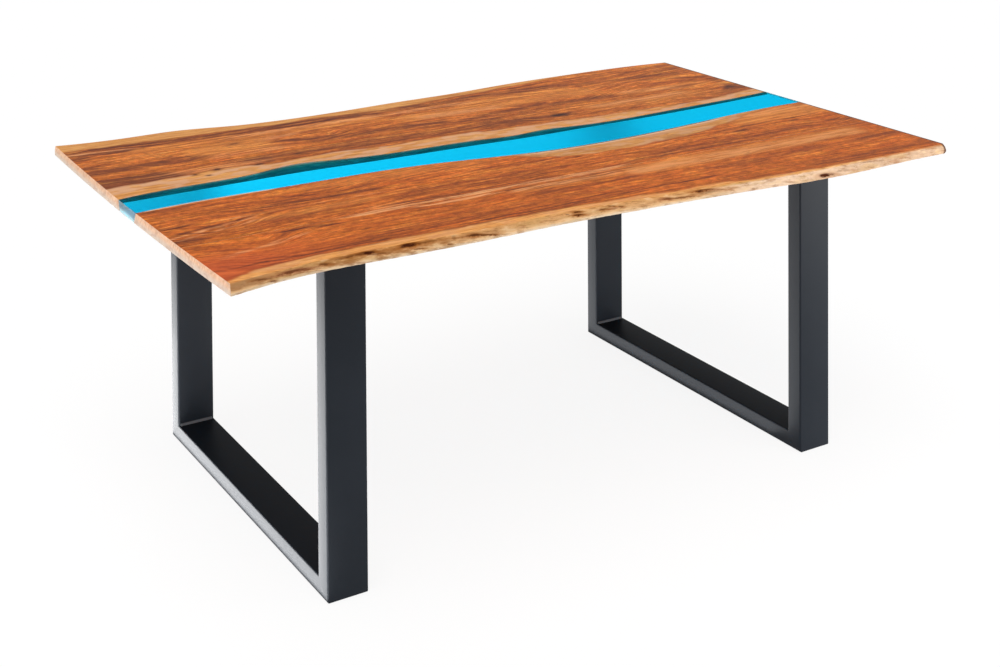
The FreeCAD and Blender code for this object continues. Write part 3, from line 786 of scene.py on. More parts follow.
def heartwood_colour(n, g, name, wood):
    """Heartwood with its rings, its broad changes of hue and its mottling."""
    features = BOARDS[name]
    light, middle, dark = tuple(wood.heartwood_light), tuple(wood.heartwood), tuple(wood.heartwood_dark)
    between = tuple((a + b) / 2 for a, b in zip(dark, middle))
    colour = n.tones(g.tone, (0.0, dark), (0.34, between), (0.60, middle), (1.0, light))
    warm = n.streaky(n.place, (1.6, 5.0, 1.0), (features["seed"], 5.0, 0.0), detail=2.0)
    redder = n.math("ADD", n.times(warm, 0.6), features["red"], clamp=True)
    colour = n.wash(colour, srgb(255, 232, 205), redder, blend="MULTIPLY")
    uneven = n.add(n.swing(g.sheen, 0.34), n.swing(n.ramp_up(g.curl, 0.38, 0.62), 0.33),
                   n.swing(n.ramp_up(g.grit, 0.38, 0.62), 0.31))
    colour = n.brighten(colour, n.math("MULTIPLY_ADD", uneven, features["shade"], features["shade"]))
    colour = n.wash(colour, srgb(255, 240, 232), n.ramp_up(g.hue, 0.50, 0.66), 0.7, blend="MULTIPLY")
    colour = n.wash(colour, srgb(250, 255, 226), n.ramp_up(g.hue, 0.48, 0.34), 0.7, blend="MULTIPLY")
    if name == "front_outer_board":
        corner = n.times(n.ramp_up(g.x, -0.60, -1.0), n.ramp_up(g.y, -0.30, -0.42))
        colour = n.wash(colour, n.mix(g.tone, srgb(160, 62, 30), srgb(218, 100, 56)), corner, 0.75)
    return colour


def lay_figure(n, g, colour, features, wood):
    """Golden and pale bands over the heartwood, then its streaks, spots and dark grain lines."""
    golden = n.mix(g.tone, srgb(190, 106, 42), srgb(240, 164, 84))
    colour = n.wash(colour, golden, streak_mask(n, g, features["glows"]), 0.8)
    pale = streak_mask(n, g, features["pales"])
    colour = n.wash(colour, srgb(230, 160, 106), pale, n.ramp_up(g.rings, 0.36, 0.58))
    dark_part = n.highest(streak_mask(n, g, features["streaks"]),
                          spot_mask(n, g, n.swing(g.fine, 1.2), features["spots"]))
    grainy = n.math("MULTIPLY_ADD", n.ramp_up(g.rings, 0.58, 0.40), 0.48, 0.52)
    colour = n.wash(colour, tuple(wood.streak), dark_part, grainy)
    return n.wash(colour, tuple(wood.streak), g.line, 0.70 - 0.20 * features["calm"])


def lay_sapwood(n, g, colour, features, wood):
    """Pale wood on the outer side of the line where the heartwood ends."""
    past = n.add(n.attribute("past_sapwood"), n.swing(g.rings, 0.016), g.wobble,
                 n.swing(n.streaky(n.place, (9.0, 12.0, 5.0), detail=3.0), 0.024))
    tone = n.add(n.times(g.fine, 0.35), n.times(g.rings, 0.4), n.times(g.sheen, 0.25))
    pale = n.tones(tone, (0.42, tuple(wood.sapwood_dark)), (0.50, srgb(216, 150, 82)),
                   (0.57, tuple(wood.sapwood)))
    pale = n.wash(pale, tuple(wood.heartwood), g.line, 0.5)
    stained = n.ramp_up(n.add(n.times(g.sheen, 0.6), n.times(g.curl, 0.4)), 0.47, 0.62)
    pale = n.wash(pale, srgb(176, 112, 62), stained, features["stain"], 0.8)
    pale = n.wash(pale, srgb(212, 162, 128), n.ramp_up(g.hue, 0.44, 0.60), features["peach"])
    pale = n.brighten(pale, features["sap_shade"])
    colour = n.wash(colour, tuple(wood.heartwood_dark), n.window(past, 0.0, 0.005, 0.008), 0.25)
    return n.wash(colour, pale, n.ramp_up(past, 0.005, -0.006))


def lay_bank_lines(n, g, colour):
    """A pale line and a dark one along the front bank, where the resin meets the wood."""
    inland = n.add(n.attribute("inland"), n.swing(g.curl, 0.004))
    beside = n.ramp_up(inland, 0.0060, 0.0030)
    pale_line = n.highest(n.times(n.window(inland, 0.006, 0.010, 0.004), n.window(g.x, 0.05, 0.66, 0.05), 0.55),
                     n.times(beside, n.window(g.x, -0.97, -0.68, 0.03)))
    colour = n.wash(colour, srgb(238, 206, 176), pale_line, 0.8)
    return n.wash(colour, srgb(58, 74, 70), beside, n.window(g.x, 0.06, 0.64, 0.05), 0.75)


def lay_knots(n, g, colour, knots, wood):
    """Dark knots, each in a stained ring."""
    ragged = n.swing(n.streaky(n.place, (60.0, 120.0, 60.0), detail=2.0), 0.9)
    rings = [(x, y, half_length * 1.9, half_width * 2.0, darkness * 0.55)
             for x, y, half_length, half_width, darkness in knots]
    colour = n.wash(colour, tuple(wood.streak), spot_mask(n, g, ragged, rings))
    return n.wash(colour, tuple(wood.knot), spot_mask(n, g, ragged, knots))


def live_edge_finish(n, g, wood, name):
    """Colour and relief of a live edge: tan wood just under the bark, paler lower down and to the right,
    with fissures and fibrous lines. The paleness lower down is partly painted light."""
    x = g.x
    below = n.times(n.add(g.z, -SURFACE), -1.0)
    ragged = n.streaky(n.place, (70.0, 70.0, 240.0), detail=4.0, roughness=0.65)
    patches = n.streaky(n.place, (11.0, 11.0, 75.0), detail=2.5)
    along = n.join(x, n.math("MULTIPLY_ADD", x, -0.085, below), 0.0)
    fibres = n.streaky(along, (14.0, 520.0, 1.0), detail=3.0, roughness=0.6)
    blocks = n.streaky(along, (26.0, 110.0, 1.0), detail=3.0, roughness=0.6)
    depth = n.add(n.times(below, 1 / THICKNESS), n.swing(patches, 0.42), n.swing(ragged, 0.30))
    # Paler lower down: partly the cream wood under the bark, and partly painted light that stands in for
    # light from below.
    colour = n.tones(depth, (0.0, srgb(226, 162, 98)), (0.25, srgb(222, 168, 112)),
                     (0.50, srgb(220, 168, 116)), (0.70, srgb(242, 196, 144)),
                     (0.95, tuple(wood.under_bark)))
    cream = n.mix(n.ramp_up(ragged, 0.35, 0.7), srgb(246, 216, 186), srgb(228, 192, 162))
    cream = n.wash(cream, srgb(202, 170, 142), n.ramp_up(x, 0.48, 0.80), 0.85)
    pale_side = n.ramp_up(n.add(x, n.swing(patches, 0.30)), 0.20, 0.38)
    under_arris = n.ramp_up(n.add(below, n.swing(ragged, 0.006)), 0.0015, 0.0055)
    colour = n.wash(colour, cream, pale_side, under_arris, 0.90)
    colour = n.wash(colour, srgb(176, 116, 68), n.ramp_up(blocks, 0.48, 0.32), 0.55)
    colour = n.wash(colour, srgb(244, 208, 162), n.ramp_up(blocks, 0.54, 0.66), 0.50)
    colour = n.wash(colour, srgb(198, 152, 84), n.ramp_up(patches, 0.52, 0.64), 0.35)
    colour = n.wash(colour, srgb(134, 84, 44), n.crease(fibres, 0.045), n.ramp_up(blocks, 0.58, 0.42), 0.60)
    top_skin = n.times(n.ramp_up(below, 0.0048, 0.0020), n.ramp_up(x, 0.66, 0.82))
    colour = n.wash(colour, srgb(178, 112, 72), top_skin, 0.8)
    left_corner = n.times(n.ramp_up(x, -0.87, -0.94), n.ramp_up(below, 0.018, 0.010))
    colour = n.wash(colour, srgb(172, 124, 82), left_corner, 0.70)
    browner = n.window(n.add(x, n.swing(patches, 0.06)), -0.76, -0.50, 0.04)
    colour = n.wash(colour, srgb(160, 98, 44), browner, n.ramp_up(blocks, 0.62, 0.44), 0.55)

    sunken = n.add(below, n.swing(ragged, 0.0060), n.swing(patches, 0.0024))
    rough = n.add(n.swing(ragged, 1.4), n.swing(fibres, 1.3))
    stain, _ = fissure_masks(n, x, sunken, rough, EDGE_PATCHES[name])
    stain_colour = n.mix(n.ramp_up(ragged, 0.35, 0.65), srgb(146, 94, 70), srgb(186, 128, 96))
    colour = n.wash(colour, stain_colour, stain, 0.9)
    without_depths = [(*fissure[:5], fissure[6]) for fissure in EDGE_FISSURES[name]]
    heart, around = fissure_masks(n, x, sunken, rough, without_depths)
    colour = n.wash(colour, n.mix(pale_side, srgb(164, 96, 40), srgb(204, 160, 124)), around, 0.88)
    frayed = n.ramp_up(n.add(n.times(fibres, 0.5), n.times(ragged, 0.5)), 0.66, 0.50)
    colour = n.wash(colour, tuple(wood.bark), n.highest(n.times(heart, frayed), n.times(heart, 0.45)))
    return colour, n.add(n.times(ragged, 0.6), n.times(fibres, 0.4))


def end_grain_colour(n, g, seed, wood):
    """Sawn end grain, smudged in places and greyer low down."""
    pores = n.streaky(n.place, (80.0, 900.0, 900.0), detail=2.0)
    rings = n.streaky(n.join(0.0, g.across, g.z), (1.0, 150.0, 60.0), detail=2.0)
    tone = n.add(n.times(rings, 0.6), n.times(pores, 0.4))
    colour = n.tones(tone, (0.34, srgb(216, 162, 126)), (0.58, tuple(wood.end_grain)))
    low_down = n.ramp_up(g.z, UNDERSIDE + THICKNESS * 0.78, UNDERSIDE + THICKNESS * 0.15)
    colour = n.wash(colour, srgb(220, 206, 192), low_down, 0.85)
    smudge = n.streaky(n.place, (20.0, 42.0, 90.0), (0.0, seed, 0.0), detail=3.0)
    return n.wash(colour, srgb(200, 162, 142), n.ramp_up(smudge, 0.50, 0.66), 0.5)


def make_wood(name, wood):
    """The wood of one board: heartwood, sapwood, knots and streaks, sawn ends and any live edge."""
    features = BOARDS[name]
    n = new_material(name + "_wood")
    g = wood_grain(n, features, wood.figure_depth)
    colour = heartwood_colour(n, g, name, wood)
    colour = lay_figure(n, g, colour, features, wood)
    if features["heart_edge"]:
        colour = lay_sapwood(n, g, colour, features, wood)
    if name == "front_river_board":
        colour = lay_bank_lines(n, g, colour)
    colour = lay_knots(n, g, colour, features["knots"], wood)
    colour = n.wash(colour, tuple(wood.streak), n.ramp_up(g.fibre, 0.56, 0.74), 0.16)

    facing_x, facing_y, _ = n.facing()
    height = n.add(n.times(g.fine, 0.5), n.times(g.fibre, 0.3), n.times(g.line, -0.3))
    roughness = n.add(n.times(g.fine, 0.16), 0.40)
    if name in EDGE_FISSURES:
        on_edge = n.ramp_up(n.math("ABSOLUTE", facing_y), 0.35, 0.75)
        edge_colour, edge_relief_noise = live_edge_finish(n, g, wood, name)
        colour = n.wash(colour, edge_colour, on_edge)
        height = n.add(height, n.times(on_edge, edge_relief_noise, 7.0))
        roughness = n.add(roughness, n.times(on_edge, 0.12))
    # Darker on the last few millimetres of the top and on the arris at the right end.
    right_arris_darkening = n.times(n.ramp_up(g.x, RIGHT_END - 0.0095, RIGHT_END - 0.0040),
                       n.ramp_up(facing_x, 0.97, 0.8))
    colour = n.wash(colour, srgb(78, 48, 40), right_arris_darkening, 0.85)
    on_end = n.ramp_up(n.math("ABSOLUTE", facing_x), 0.45, 0.8)
    colour = n.wash(colour, end_grain_colour(n, g, features["seed"], wood), on_end, 0.92)
    roughness = n.add(roughness, n.times(on_end, 0.16))
    return n.principled(Base_Color=colour, Roughness=roughness, Normal=n.bump(height, 0.35, 0.0005),
                        Specular_IOR_Level=0.03)


def make_bank():
    """Scraped bank of the slabs where the resin meets it: pale wood that was under the bark."""
    n = new_material("bank_wood")
    patches = n.streaky(n.place, (16.0, 30.0, 60.0), detail=4.0, roughness=0.6)
    lines = n.streaky(n.place, (5.0, 60.0, 260.0), detail=2.0)
    tone = n.add(n.times(patches, 0.6), n.times(lines, 0.4))
    colour = n.tones(tone, (0.36, srgb(112, 78, 62)), (0.50, srgb(164, 122, 100)),
                     (0.64, srgb(196, 156, 130)))
    return n.principled(Base_Color=colour, Roughness=n.add(n.times(patches, 0.2), 0.6),
                        Normal=n.bump(tone, 0.6, 0.001), Specular_IOR_Level=0.2)


def past_sapwood(x, y, heart_edge, outward):
    """How far a point lies on the heartwood's side of the line where the sapwood ends."""
    return (smooth_curve(*np.array(heart_edge).T)(x) - y) * outward


def edge_relief(points, outward, name, wood):
    """How far each point of a live edge stands out or in: slow waves, bark ripples and fissures."""
    x, below = points[:, 0], SURFACE - points[:, 2]
    share = below / THICKNESS
    belly = 4 * share * (1 - share)
    slow = np.array([noise.noise(Vector((x * 7.0, outward * 3.0, z * 30.0))) for x, _, z in points])
    ripple = np.array([noise.fractal(Vector((x * 46.0, outward * 9.0, z * 130.0)), 0.8, 2.0, 4)
                       for x, _, z in points])
    waves = 0.5 * belly + 0.8 * slow * belly + 0.65 * ripple * np.minimum(1.0, 4 * share)
    relief = wood.edge_relief * waves
    for x0, down0, x1, down1, half_height, depth, _ in EDGE_FISSURES[name]:
        along = (x - (x0 + x1) / 2) / ((x1 - x0) / 2)
        down = below - down0 - (down1 - down0) * (x - x0) / (x1 - x0) + 0.0008 * slow
        relief -= depth * np.exp(-along ** 4 - (down / (1.3 * half_height)) ** 2)
    if outward < 0:
        reach = np.clip((x - CORNER_START) / (RIGHT_END - CORNER_START), 0, 1)
        relief += CORNER_BULGE * belly * reach ** 2
    return relief


# Steps of the boards' meshes: along a board with a live edge and along the others, across, and through.
LIVE_EDGE_STEPS = 520
PLAIN_STEPS = 260
STEPS_ACROSS = 8
LIVE_EDGE_STEPS_THROUGH = 14
PLAIN_STEPS_THROUGH = 4


def make_board(name, front, back, wood, bank):
    """One board between its two sides, with its arrises rounded and its insert holes bored."""
    heart_edge = BOARDS[name]["heart_edge"]
    outer = name in EDGE_FISSURES
    natural, rails, outward = ("front", front, -1) if front[0] is not front[1] else ("back", back, 1)
    block = Block(spread(LIVE_EDGE_STEPS if outer else PLAIN_STEPS, ends=(0.0015, 0.003)),
                  spread(STEPS_ACROSS, ends=(0.02, 0.05)),
                  spread(LIVE_EDGE_STEPS_THROUGH if outer else PLAIN_STEPS_THROUGH))
    points = place_on_top(block, front, back)
    past = np.full(len(points), 1.0)
    inland = np.full(len(points), 1.0)
    if heart_edge:
        past = past_sapwood(points[:, 0], points[:, 1], heart_edge, outward)
        inland = (rails[1](points[:, 0]) - points[:, 1]) * outward
    if outer:
        live = block.on[natural]
        points[live, 1] += outward * edge_relief(points[live], outward, name, wood)
        low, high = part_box(name)
        points[:, 1] = np.clip(points[:, 1], low.y, high.y)
    live_arrises = [(face, natural) for face in ("top", "bottom", "left", "right")] if outer else []
    mesh = block.mesh(name, points, SAWN_ARRISES + live_arrises)
    mesh.attributes.new("past_sapwood", "FLOAT", "POINT").data.foreach_set("value", past)
    mesh.attributes.new("inland", "FLOAT", "POINT").data.foreach_set("value", inland)
    for material in (make_wood(name, wood), bank):
        mesh.materials.append(material)
    if heart_edge and not outer:
        sides = [1 if side == natural else 0 for side in block.face_sides]
        mesh.polygons.foreach_set("material_index", sides)
    piece = finish_piece(name, mesh)
    round_arrises(piece, wood.arris_radius)
    cutter = insert_hole_cutter(points[:, 1].min(), points[:, 1].max())
    if cutter is not None:
        bore = piece.modifiers.new("insert holes", "BOOLEAN")
        bore.object = cutter
        bore.operation = "DIFFERENCE"
        bore.solver = "EXACT"
    bake_modifiers(piece)
    if cutter is not None:
        bpy.data.meshes.remove(cutter.data)


# ================================================================ fittings
INSERT_HOLE_RADIUS = 0.00605
INSERT_HOLE_DEPTH = 0.018
INSERT_HOLE_SEGMENTS = 32
FITTING_REACH = 0.02            # a fitting's points are nearer than this to its middle, others further


def separate_solids(node):
    """The boxes of a node's solids, one for each fitting."""
    lows, highs = [], []
    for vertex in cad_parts[node].data.vertices:
        for i, (low, high) in enumerate(zip(lows, highs)):
            middle = (low + high) / 2
            if max(abs(middle.x - vertex.co.x), abs(middle.y - vertex.co.y)) < FITTING_REACH:
                lows[i] = Vector(map(min, low, vertex.co))
                highs[i] = Vector(map(max, high, vertex.co))
                break
        else:
            lows.append(vertex.co.copy())
            highs.append(vertex.co.copy())
    return list(zip(lows, highs))


def fitting_places(node):
    """Middle of each fitting of a node, seen from above."""
    return [(low + high) / 2 for low, high in separate_solids(node)]


def revolve(bm, centre, profile, segments):
    """A closed solid of revolution about the vertical through centre; profile is (radius, z) from its
    bottom middle to its top middle."""
    rings = []
    for radius, z in profile:
        angles = [2 * math.pi * i / segments for i in range(segments)] if radius else [0.0]
        rings.append([bm.verts.new((centre.x + radius * math.cos(angle),
                                    centre.y + radius * math.sin(angle), z)) for angle in angles])
    for lower, upper in zip(rings, rings[1:]):
        for i in range(segments):
            following = (i + 1) % segments
            corners = [lower[i % len(lower)], lower[following % len(lower)],
                       upper[following % len(upper)], upper[i % len(upper)]]
            bm.faces.new(list(dict.fromkeys(corners)))


def insert_hole_cutter(low_y, high_y):
    """A hidden object with one blind bore for each insert between two Y values, or None."""
    places = [place for side in FRAME_SIDES for place in fitting_places(side + "_threaded_inserts")
              if low_y < place.y < high_y]
    if not places:
        return None
    bm = bmesh.new()
    bottom, top = UNDERSIDE - INSERT_HOLE_DEPTH, UNDERSIDE + INSERT_HOLE_DEPTH
    profile = [(0, bottom), (INSERT_HOLE_RADIUS, bottom), (INSERT_HOLE_RADIUS, top), (0, top)]
    for place in places:
        revolve(bm, place, profile, INSERT_HOLE_SEGMENTS)
    bmesh.ops.recalc_face_normals(bm, faces=bm.faces)
    mesh = bpy.data.meshes.new("insert_hole_cutter")
    bm.to_mesh(mesh)
    bm.free()
    cutter = place_object("insert_hole_cutter", mesh)
    cutter.hide_render = True
    return cutter


# ================================================================ river
RESIN_IOR = 1.5
RESIN_GLOSS = (0.05, 0.76, 1.0, 1.0)
HAZE_ROUGHNESS = 0.8                # of the sanded faces' milky part, and its index of refraction
HAZE_IOR = 1.18
RESIN_KEY = 0.0004                  # the resin runs this far into the banks' grain, below their arrises
RIVER_STEPS_ACROSS = 6
RIVER_STATIONS_THROUGH = [0.0, 0.03, 0.5, 0.97, 1.0]


def make_resin(resin):
    """Clear tinted casting resin: polished on top, sanded below, and sanded dull on its sawn ends."""
    n = new_material("river_resin_clear")
    x, _, z = n.separate(n.place)
    sanded = n.ramp_up(z, SURFACE - 0.0002, SURFACE - 0.0008)
    scratches = n.streaky(n.place, (160.0, 700.0, 400.0), detail=2.0)
    roughness = n.math("MULTIPLY_ADD", sanded, resin.frost, resin.polish)
    roughness = n.add(roughness, n.times(sanded, n.swing(scratches, 0.08)))
    normal = n.bump(n.streaky(n.place, (7.0, 9.0, 5.0), detail=1.0), 0.05, 0.001)
    cloud = n.streaky(n.place, (2.2, 5.0, 5.0), detail=3.0)
    deep = n.highest(n.ramp_up(x, -0.70, -0.98), n.times(n.ramp_up(cloud, 0.5, 0.7), 0.12))
    tint = n.mix(deep, (1.0, 1.0, 1.0), (0.86, 0.60, 0.61))
    clear = n.node("ShaderNodeBsdfRefraction", {"Color": tint, "Roughness": roughness, "IOR": RESIN_IOR,
                                                "Normal": normal})
    gloss = n.node("ShaderNodeBsdfGlossy", {"Color": RESIN_GLOSS, "Roughness": 0.06, "Normal": normal})
    polished = n.blend_shaders(0.05, clear, gloss)
    grit = n.node("ShaderNodeBsdfGlass", {"Roughness": roughness, "IOR": RESIN_IOR},
                  distribution="MULTI_GGX")
    haze = n.node("ShaderNodeBsdfGlass", {"Roughness": HAZE_ROUGHNESS, "IOR": HAZE_IOR},
                  distribution="MULTI_GGX")
    frosted = n.blend_shaders(n.times(sanded, 0.8), grit, haze)
    from_inside = n.node("ShaderNodeNewGeometry", output="Backfacing")
    body = n.blend_shaders(n.highest(sanded, from_inside), polished, frosted)

    dust = n.mix(n.ramp_up(scratches, 0.4, 0.65), srgb(152, 170, 174), srgb(186, 196, 196))
    low_down = n.ramp_up(z, UNDERSIDE + THICKNESS * 0.6, UNDERSIDE + THICKNESS * 0.1)
    dust = n.wash(dust, srgb(242, 242, 238), low_down)
    dull = n.blend_shaders(0.4, n.node("ShaderNodeBsdfDiffuse", {"Color": dust}),
                           n.node("ShaderNodeBsdfTranslucent", {"Color": dust}))
    on_end = n.ramp_up(n.math("ABSOLUTE", n.facing()[0]), 0.45, 0.8)
    absorbed = n.node("ShaderNodeVolumeAbsorption", {"Color": (*resin.tint, 1.0), "Density": resin.density})
    return n.finish(Surface=n.blend_shaders(n.times(on_end, 0.9), body, dull), Volume=absorbed)


def make_river(front, back, resin, wood):
    """The casting between the two banks."""
    block = Block(spread(PLAIN_STEPS, ends=(0.0003, 0.0015)), spread(RIVER_STEPS_ACROSS, ends=(0.02,)),
                  RIVER_STATIONS_THROUGH)
    points = place_on_top(block, front, back)
    inside = ~(block.on["top"] | block.on["bottom"] | block.on["left"] | block.on["right"])
    points[block.on["front"] & inside, 1] -= RESIN_KEY
    points[block.on["back"] & inside, 1] += RESIN_KEY
    mesh = block.mesh("river_resin", points, SAWN_ARRISES)
    mesh.materials.append(make_resin(resin))
    piece = finish_piece("river_resin", mesh)
    round_arrises(piece, wood.arris_radius)
    bake_modifiers(piece)


# ================================================================ steel
def make_coat(name, base):
    """Powder coat with its fine orange peel, more matt on faces that look up, and with painted shade on
    them: their colour is darker.
    """
    n = new_material(name)
    peel = n.noise(n.place, scale=420.0, detail=2.0)
    cloud = n.noise(n.place, scale=5.0, detail=3.0)
    speckle = n.noise(n.place, scale=2600.0, detail=1.0)
    lighter = tuple(value * 1.35 + 0.002 for value in base)
    uneven = n.ramp_up(n.add(n.times(cloud, 0.6), n.times(speckle, 0.4)), 0.35, 0.7)
    upward = n.ramp_up(n.facing()[2], 0.7, 0.95)
    colour = n.wash(base, lighter, uneven, 0.6)
    # Painted shade: the colour of faces that look up is darkened.
    colour = n.wash(colour, tuple(value * 0.2 for value in base), upward, 0.7)
    roughness = n.add(n.times(cloud, 0.08), n.times(peel, 0.08), 0.36)
    return n.principled(Base_Color=colour, Roughness=roughness, Normal=n.bump(peel, 0.25, 0.0002),
                        Specular_IOR_Level=n.math("MULTIPLY_ADD", upward, -0.07, 0.09))


def make_metal(name, colour, roughness):
    """Plated or turned metal with fine turning marks."""
    n = new_material(name)
    marks = n.streaky(n.place, (400.0, 400.0, 2500.0), detail=2.0)
    cloud = n.noise(n.place, scale=300.0, detail=2.0)
    shade = n.mix(n.ramp_up(cloud, 0.35, 0.7), tuple(value * 0.8 for value in colour), colour)
    return n.principled(Base_Color=shade, Metallic=1.0, Roughness=n.add(n.times(marks, 0.2), roughness),
                        Normal=n.bump(marks, 0.15, 0.0001))


def make_rubber(steel):
    """Moulded rubber with a slight bloom."""
    n = new_material("glide_rubber")
    grain = n.noise(n.place, scale=900.0, detail=3.0)
    base = tuple(steel.rubber)
    colour = n.mix(n.ramp_up(grain, 0.4, 0.7), base, tuple(value * 1.6 for value in base))
    return n.principled(Base_Color=colour, Roughness=n.add(n.times(grain, 0.15), 0.7),
                        Normal=n.bump(grain, 0.3, 0.0002))


CORNER_STEPS = 6                # of each rounded corner of a tube


def tube_outline(half_width, half_depth, radius):
    """Points of a rounded rectangle, anticlockwise."""
    points = []
    for quarter, (side_x, side_y) in enumerate(((1, 1), (-1, 1), (-1, -1), (1, -1))):
        for step in range(CORNER_STEPS + 1):
            angle = math.pi / 2 * (quarter + step / CORNER_STEPS)
            points.append((side_x * (half_width - radius) + radius * math.cos(angle),
                           side_y * (half_depth - radius) + radius * math.sin(angle)))
    return points


def make_tube(name, half_width, half_depth, place, steel, coat):
    """A tube whose outline's points run from place(0, a, b) to place(1, a, b)."""
    bm = bmesh.new()
    loops = []
    for shrink, radius in ((0.0, steel.corner_radius), (steel.wall, steel.corner_radius - steel.wall)):
        outline = tube_outline(half_width - shrink, half_depth - shrink, radius)
        loops.append([[bm.verts.new(place(end, a, b)) for a, b in outline] for end in (0, 1)])
    (outer_start, outer_end), (inner_start, inner_end) = loops
    for one, other in ((outer_start, outer_end), (inner_end, inner_start),
                       (inner_start, outer_start), (outer_end, inner_end)):
        bridge(bm, one, other)
    finish_piece(name, finish_mesh(bm, name, coat))


def make_leg_tubes(side, steel, coat):
    """Two posts and the floor bar of one frame, mitred into each other."""
    bar_low, bar_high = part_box(side + "_floor_bar")
    middle_x = (bar_low.x + bar_high.x) / 2
    half_width = (bar_high.x - bar_low.x) / 2
    half_depth = (bar_high.z - bar_low.z) / 2
    for end, outer_y, inward in (("front", bar_low.y, 1), ("back", bar_high.y, -1)):
        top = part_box(side + "_" + end + "_post")[1].z
        middle_y = outer_y + inward * half_depth

        def post_place(at_top, a, b):
            y = middle_y + b
            mitre = bar_low.z + abs(y - outer_y)
            return middle_x + a, y, top if at_top else mitre

        make_tube(side + "_" + end + "_post", half_width, half_depth, post_place, steel, coat)

    def bar_place(at_back, a, b):
        z = bar_low.z + half_depth + b
        inset = z - bar_low.z
        return middle_x + a, bar_high.y - inset if at_back else bar_low.y + inset, z

    make_tube(side + "_floor_bar", half_width, half_depth, bar_place, steel, coat)


WELD_STEPS_ALONG = 180
WELD_STEPS_ACROSS = 8
# Shares of a weld's leg: how full its face is in the middle, the height of its ripples, and how much the
# bead wavers. Then how far its ripples bow, in ripples, and how quickly and how far its ends thin out.
WELD_FULLNESS = 0.80
WELD_WAVE = 0.055
WELD_WAVER = 0.05
WELD_BOW = 0.9
WELD_TAPER = 30
WELD_END = 0.25


def make_welds(node, upward, steel, coat):
    """The two rippled fillet beads of a node, in the corners between its posts and what they meet.

    upward is +1 where a bead rises from its corner and -1 where it hangs down from it.
    """
    low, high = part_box(node)
    leg = high.z - low.z
    corner_z = low.z if upward > 0 else high.z
    bm = bmesh.new()
    for corner_y, inward in ((low.y, 1), (high.y, -1)):
        rows = []
        for i in range(WELD_STEPS_ALONG + 1):
            share = i / WELD_STEPS_ALONG
            x = low.x + share * (high.x - low.x)
            taper = max(WELD_END, min(1.0, min(share, 1 - share) * WELD_TAPER) ** 0.5)
            row = [bm.verts.new((x, corner_y, corner_z))]
            for j in range(WELD_STEPS_ACROSS + 1):
                angle = math.pi / 2 * j / WELD_STEPS_ACROSS
                middle = math.sin(2 * angle)
                wave = math.cos(2 * math.pi * (x / steel.ripple_pitch + WELD_BOW * middle)) * middle
                waver = noise.noise(Vector((x * 90.0, corner_y * 7.0, corner_z * 5.0)))
                fullness = WELD_FULLNESS + WELD_WAVE * wave + WELD_WAVER * waver
                reach = leg * taper * (fullness + (1 - fullness) * abs(math.cos(2 * angle)) ** 3)
                row.append(bm.verts.new((x, corner_y + inward * reach * math.cos(angle),
                                         corner_z + upward * reach * math.sin(angle))))
            rows.append(row)
        for one, other in zip(rows, rows[1:]):
            bridge(bm, one, other)
        bm.faces.new(rows[0])
        bm.faces.new(rows[-1][::-1])
    finish_piece(node, finish_mesh(bm, node, coat, sharp_degrees=50))


BOLT_RADIUS = 0.004
BOLT_SEGMENTS = 24
HEX_STEPS = 12                  # of each flat
HEX_EDGE = 0.0003               # how far up the middle of each flat the cone comes
HEX_CONE = 0.58                 # how far it rises from there for each metre outwards
HEX_FACE = 0.97                 # radius of the end face, as a share of the distance to the flats
THREAD_PITCH = 0.00125
THREAD_DEPTH = 0.0006
SHANK_START = 0.001             # the shank starts this far inside the head; its tip is turned as much


def hex_head(bm, centre, bottom, top, across_flats):
    """A hexagon head whose lower corners are turned off in a cone."""
    flat = across_flats / 2
    upper, middle, lower = [], [], []
    for i in range(6 * HEX_STEPS):
        angle = 2 * math.pi * i / (6 * HEX_STEPS)
        from_flat = (angle + math.pi / 6) % (math.pi / 3) - math.pi / 6
        corner = flat / math.cos(from_flat)
        cone = bottom + (corner - flat) * HEX_CONE + HEX_EDGE
        for ring, radius, z in ((upper, corner, top), (middle, corner, cone),
                                (lower, flat * HEX_FACE, bottom)):
            ring.append(bm.verts.new((centre.x + radius * math.cos(angle),
                                      centre.y + radius * math.sin(angle), z)))
    bridge(bm, middle, upper)
    bridge(bm, lower, middle)
    bm.faces.new(upper)
    bm.faces.new(lower[::-1])


def make_bolts(side, zinc):
    """The eight hexagon bolts of one frame."""
    node = side + "_plate_bolts"
    root = BOLT_RADIUS - THREAD_DEPTH
    washer_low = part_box(side + "_plate_washers")[0].z
    bm = bmesh.new()
    for low, high in separate_solids(node):
        centre = (low + high) / 2
        hex_head(bm, centre, low.z, washer_low, high.y - low.y)
        profile = [(0, washer_low - SHANK_START), (root, washer_low - SHANK_START)]
        z = washer_low
        while z < high.z - 2 * THREAD_PITCH:
            profile += [(root, z), (BOLT_RADIUS, z + THREAD_PITCH / 2)]
            z += THREAD_PITCH
        profile += [(root, z), (BOLT_RADIUS - SHANK_START, high.z), (0, high.z)]
        revolve(bm, centre, profile, BOLT_SEGMENTS)
    finish_piece(node, finish_mesh(bm, node, zinc))


def dress_node(node, material, break_width=0.0):
    """Keep a frame node's own mesh, with a finish of its own and its edges broken by the given width."""
    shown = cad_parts[node]
    shown.data.materials.clear()
    shown.data.materials.append(material)
    if break_width:
        edge = shown.modifiers.new("broken edges", "BEVEL")
        edge.limit_method = "ANGLE"
        edge.angle_limit = math.radians(40)
        edge.width = break_width
        edge.segments = 2


# ================================================================ stage
LENS_MILLIMETRES = 56.42
SENSOR_MILLIMETRES = 36.0
# The camera is a view camera: its back stays nearly upright while it looks down, so that upright edges
# stay parallel. Its picture's right and up directions therefore aren't square to its line of sight.
CAMERA_TURN = math.radians(25.96)       # of the back, from +Y towards +X
CAMERA_TILT = math.radians(1.28)        # of the back, downwards
CAMERA_ROLL = math.radians(-0.57)
CAMERA_AIM = (0.17511, -0.36829, 0.91312)   # line of sight, as right, up and forward shares
WHITE = (1.0, 1.0, 1.0, 1.0)
UPWARD = (0.0, 0.0, 1.0)


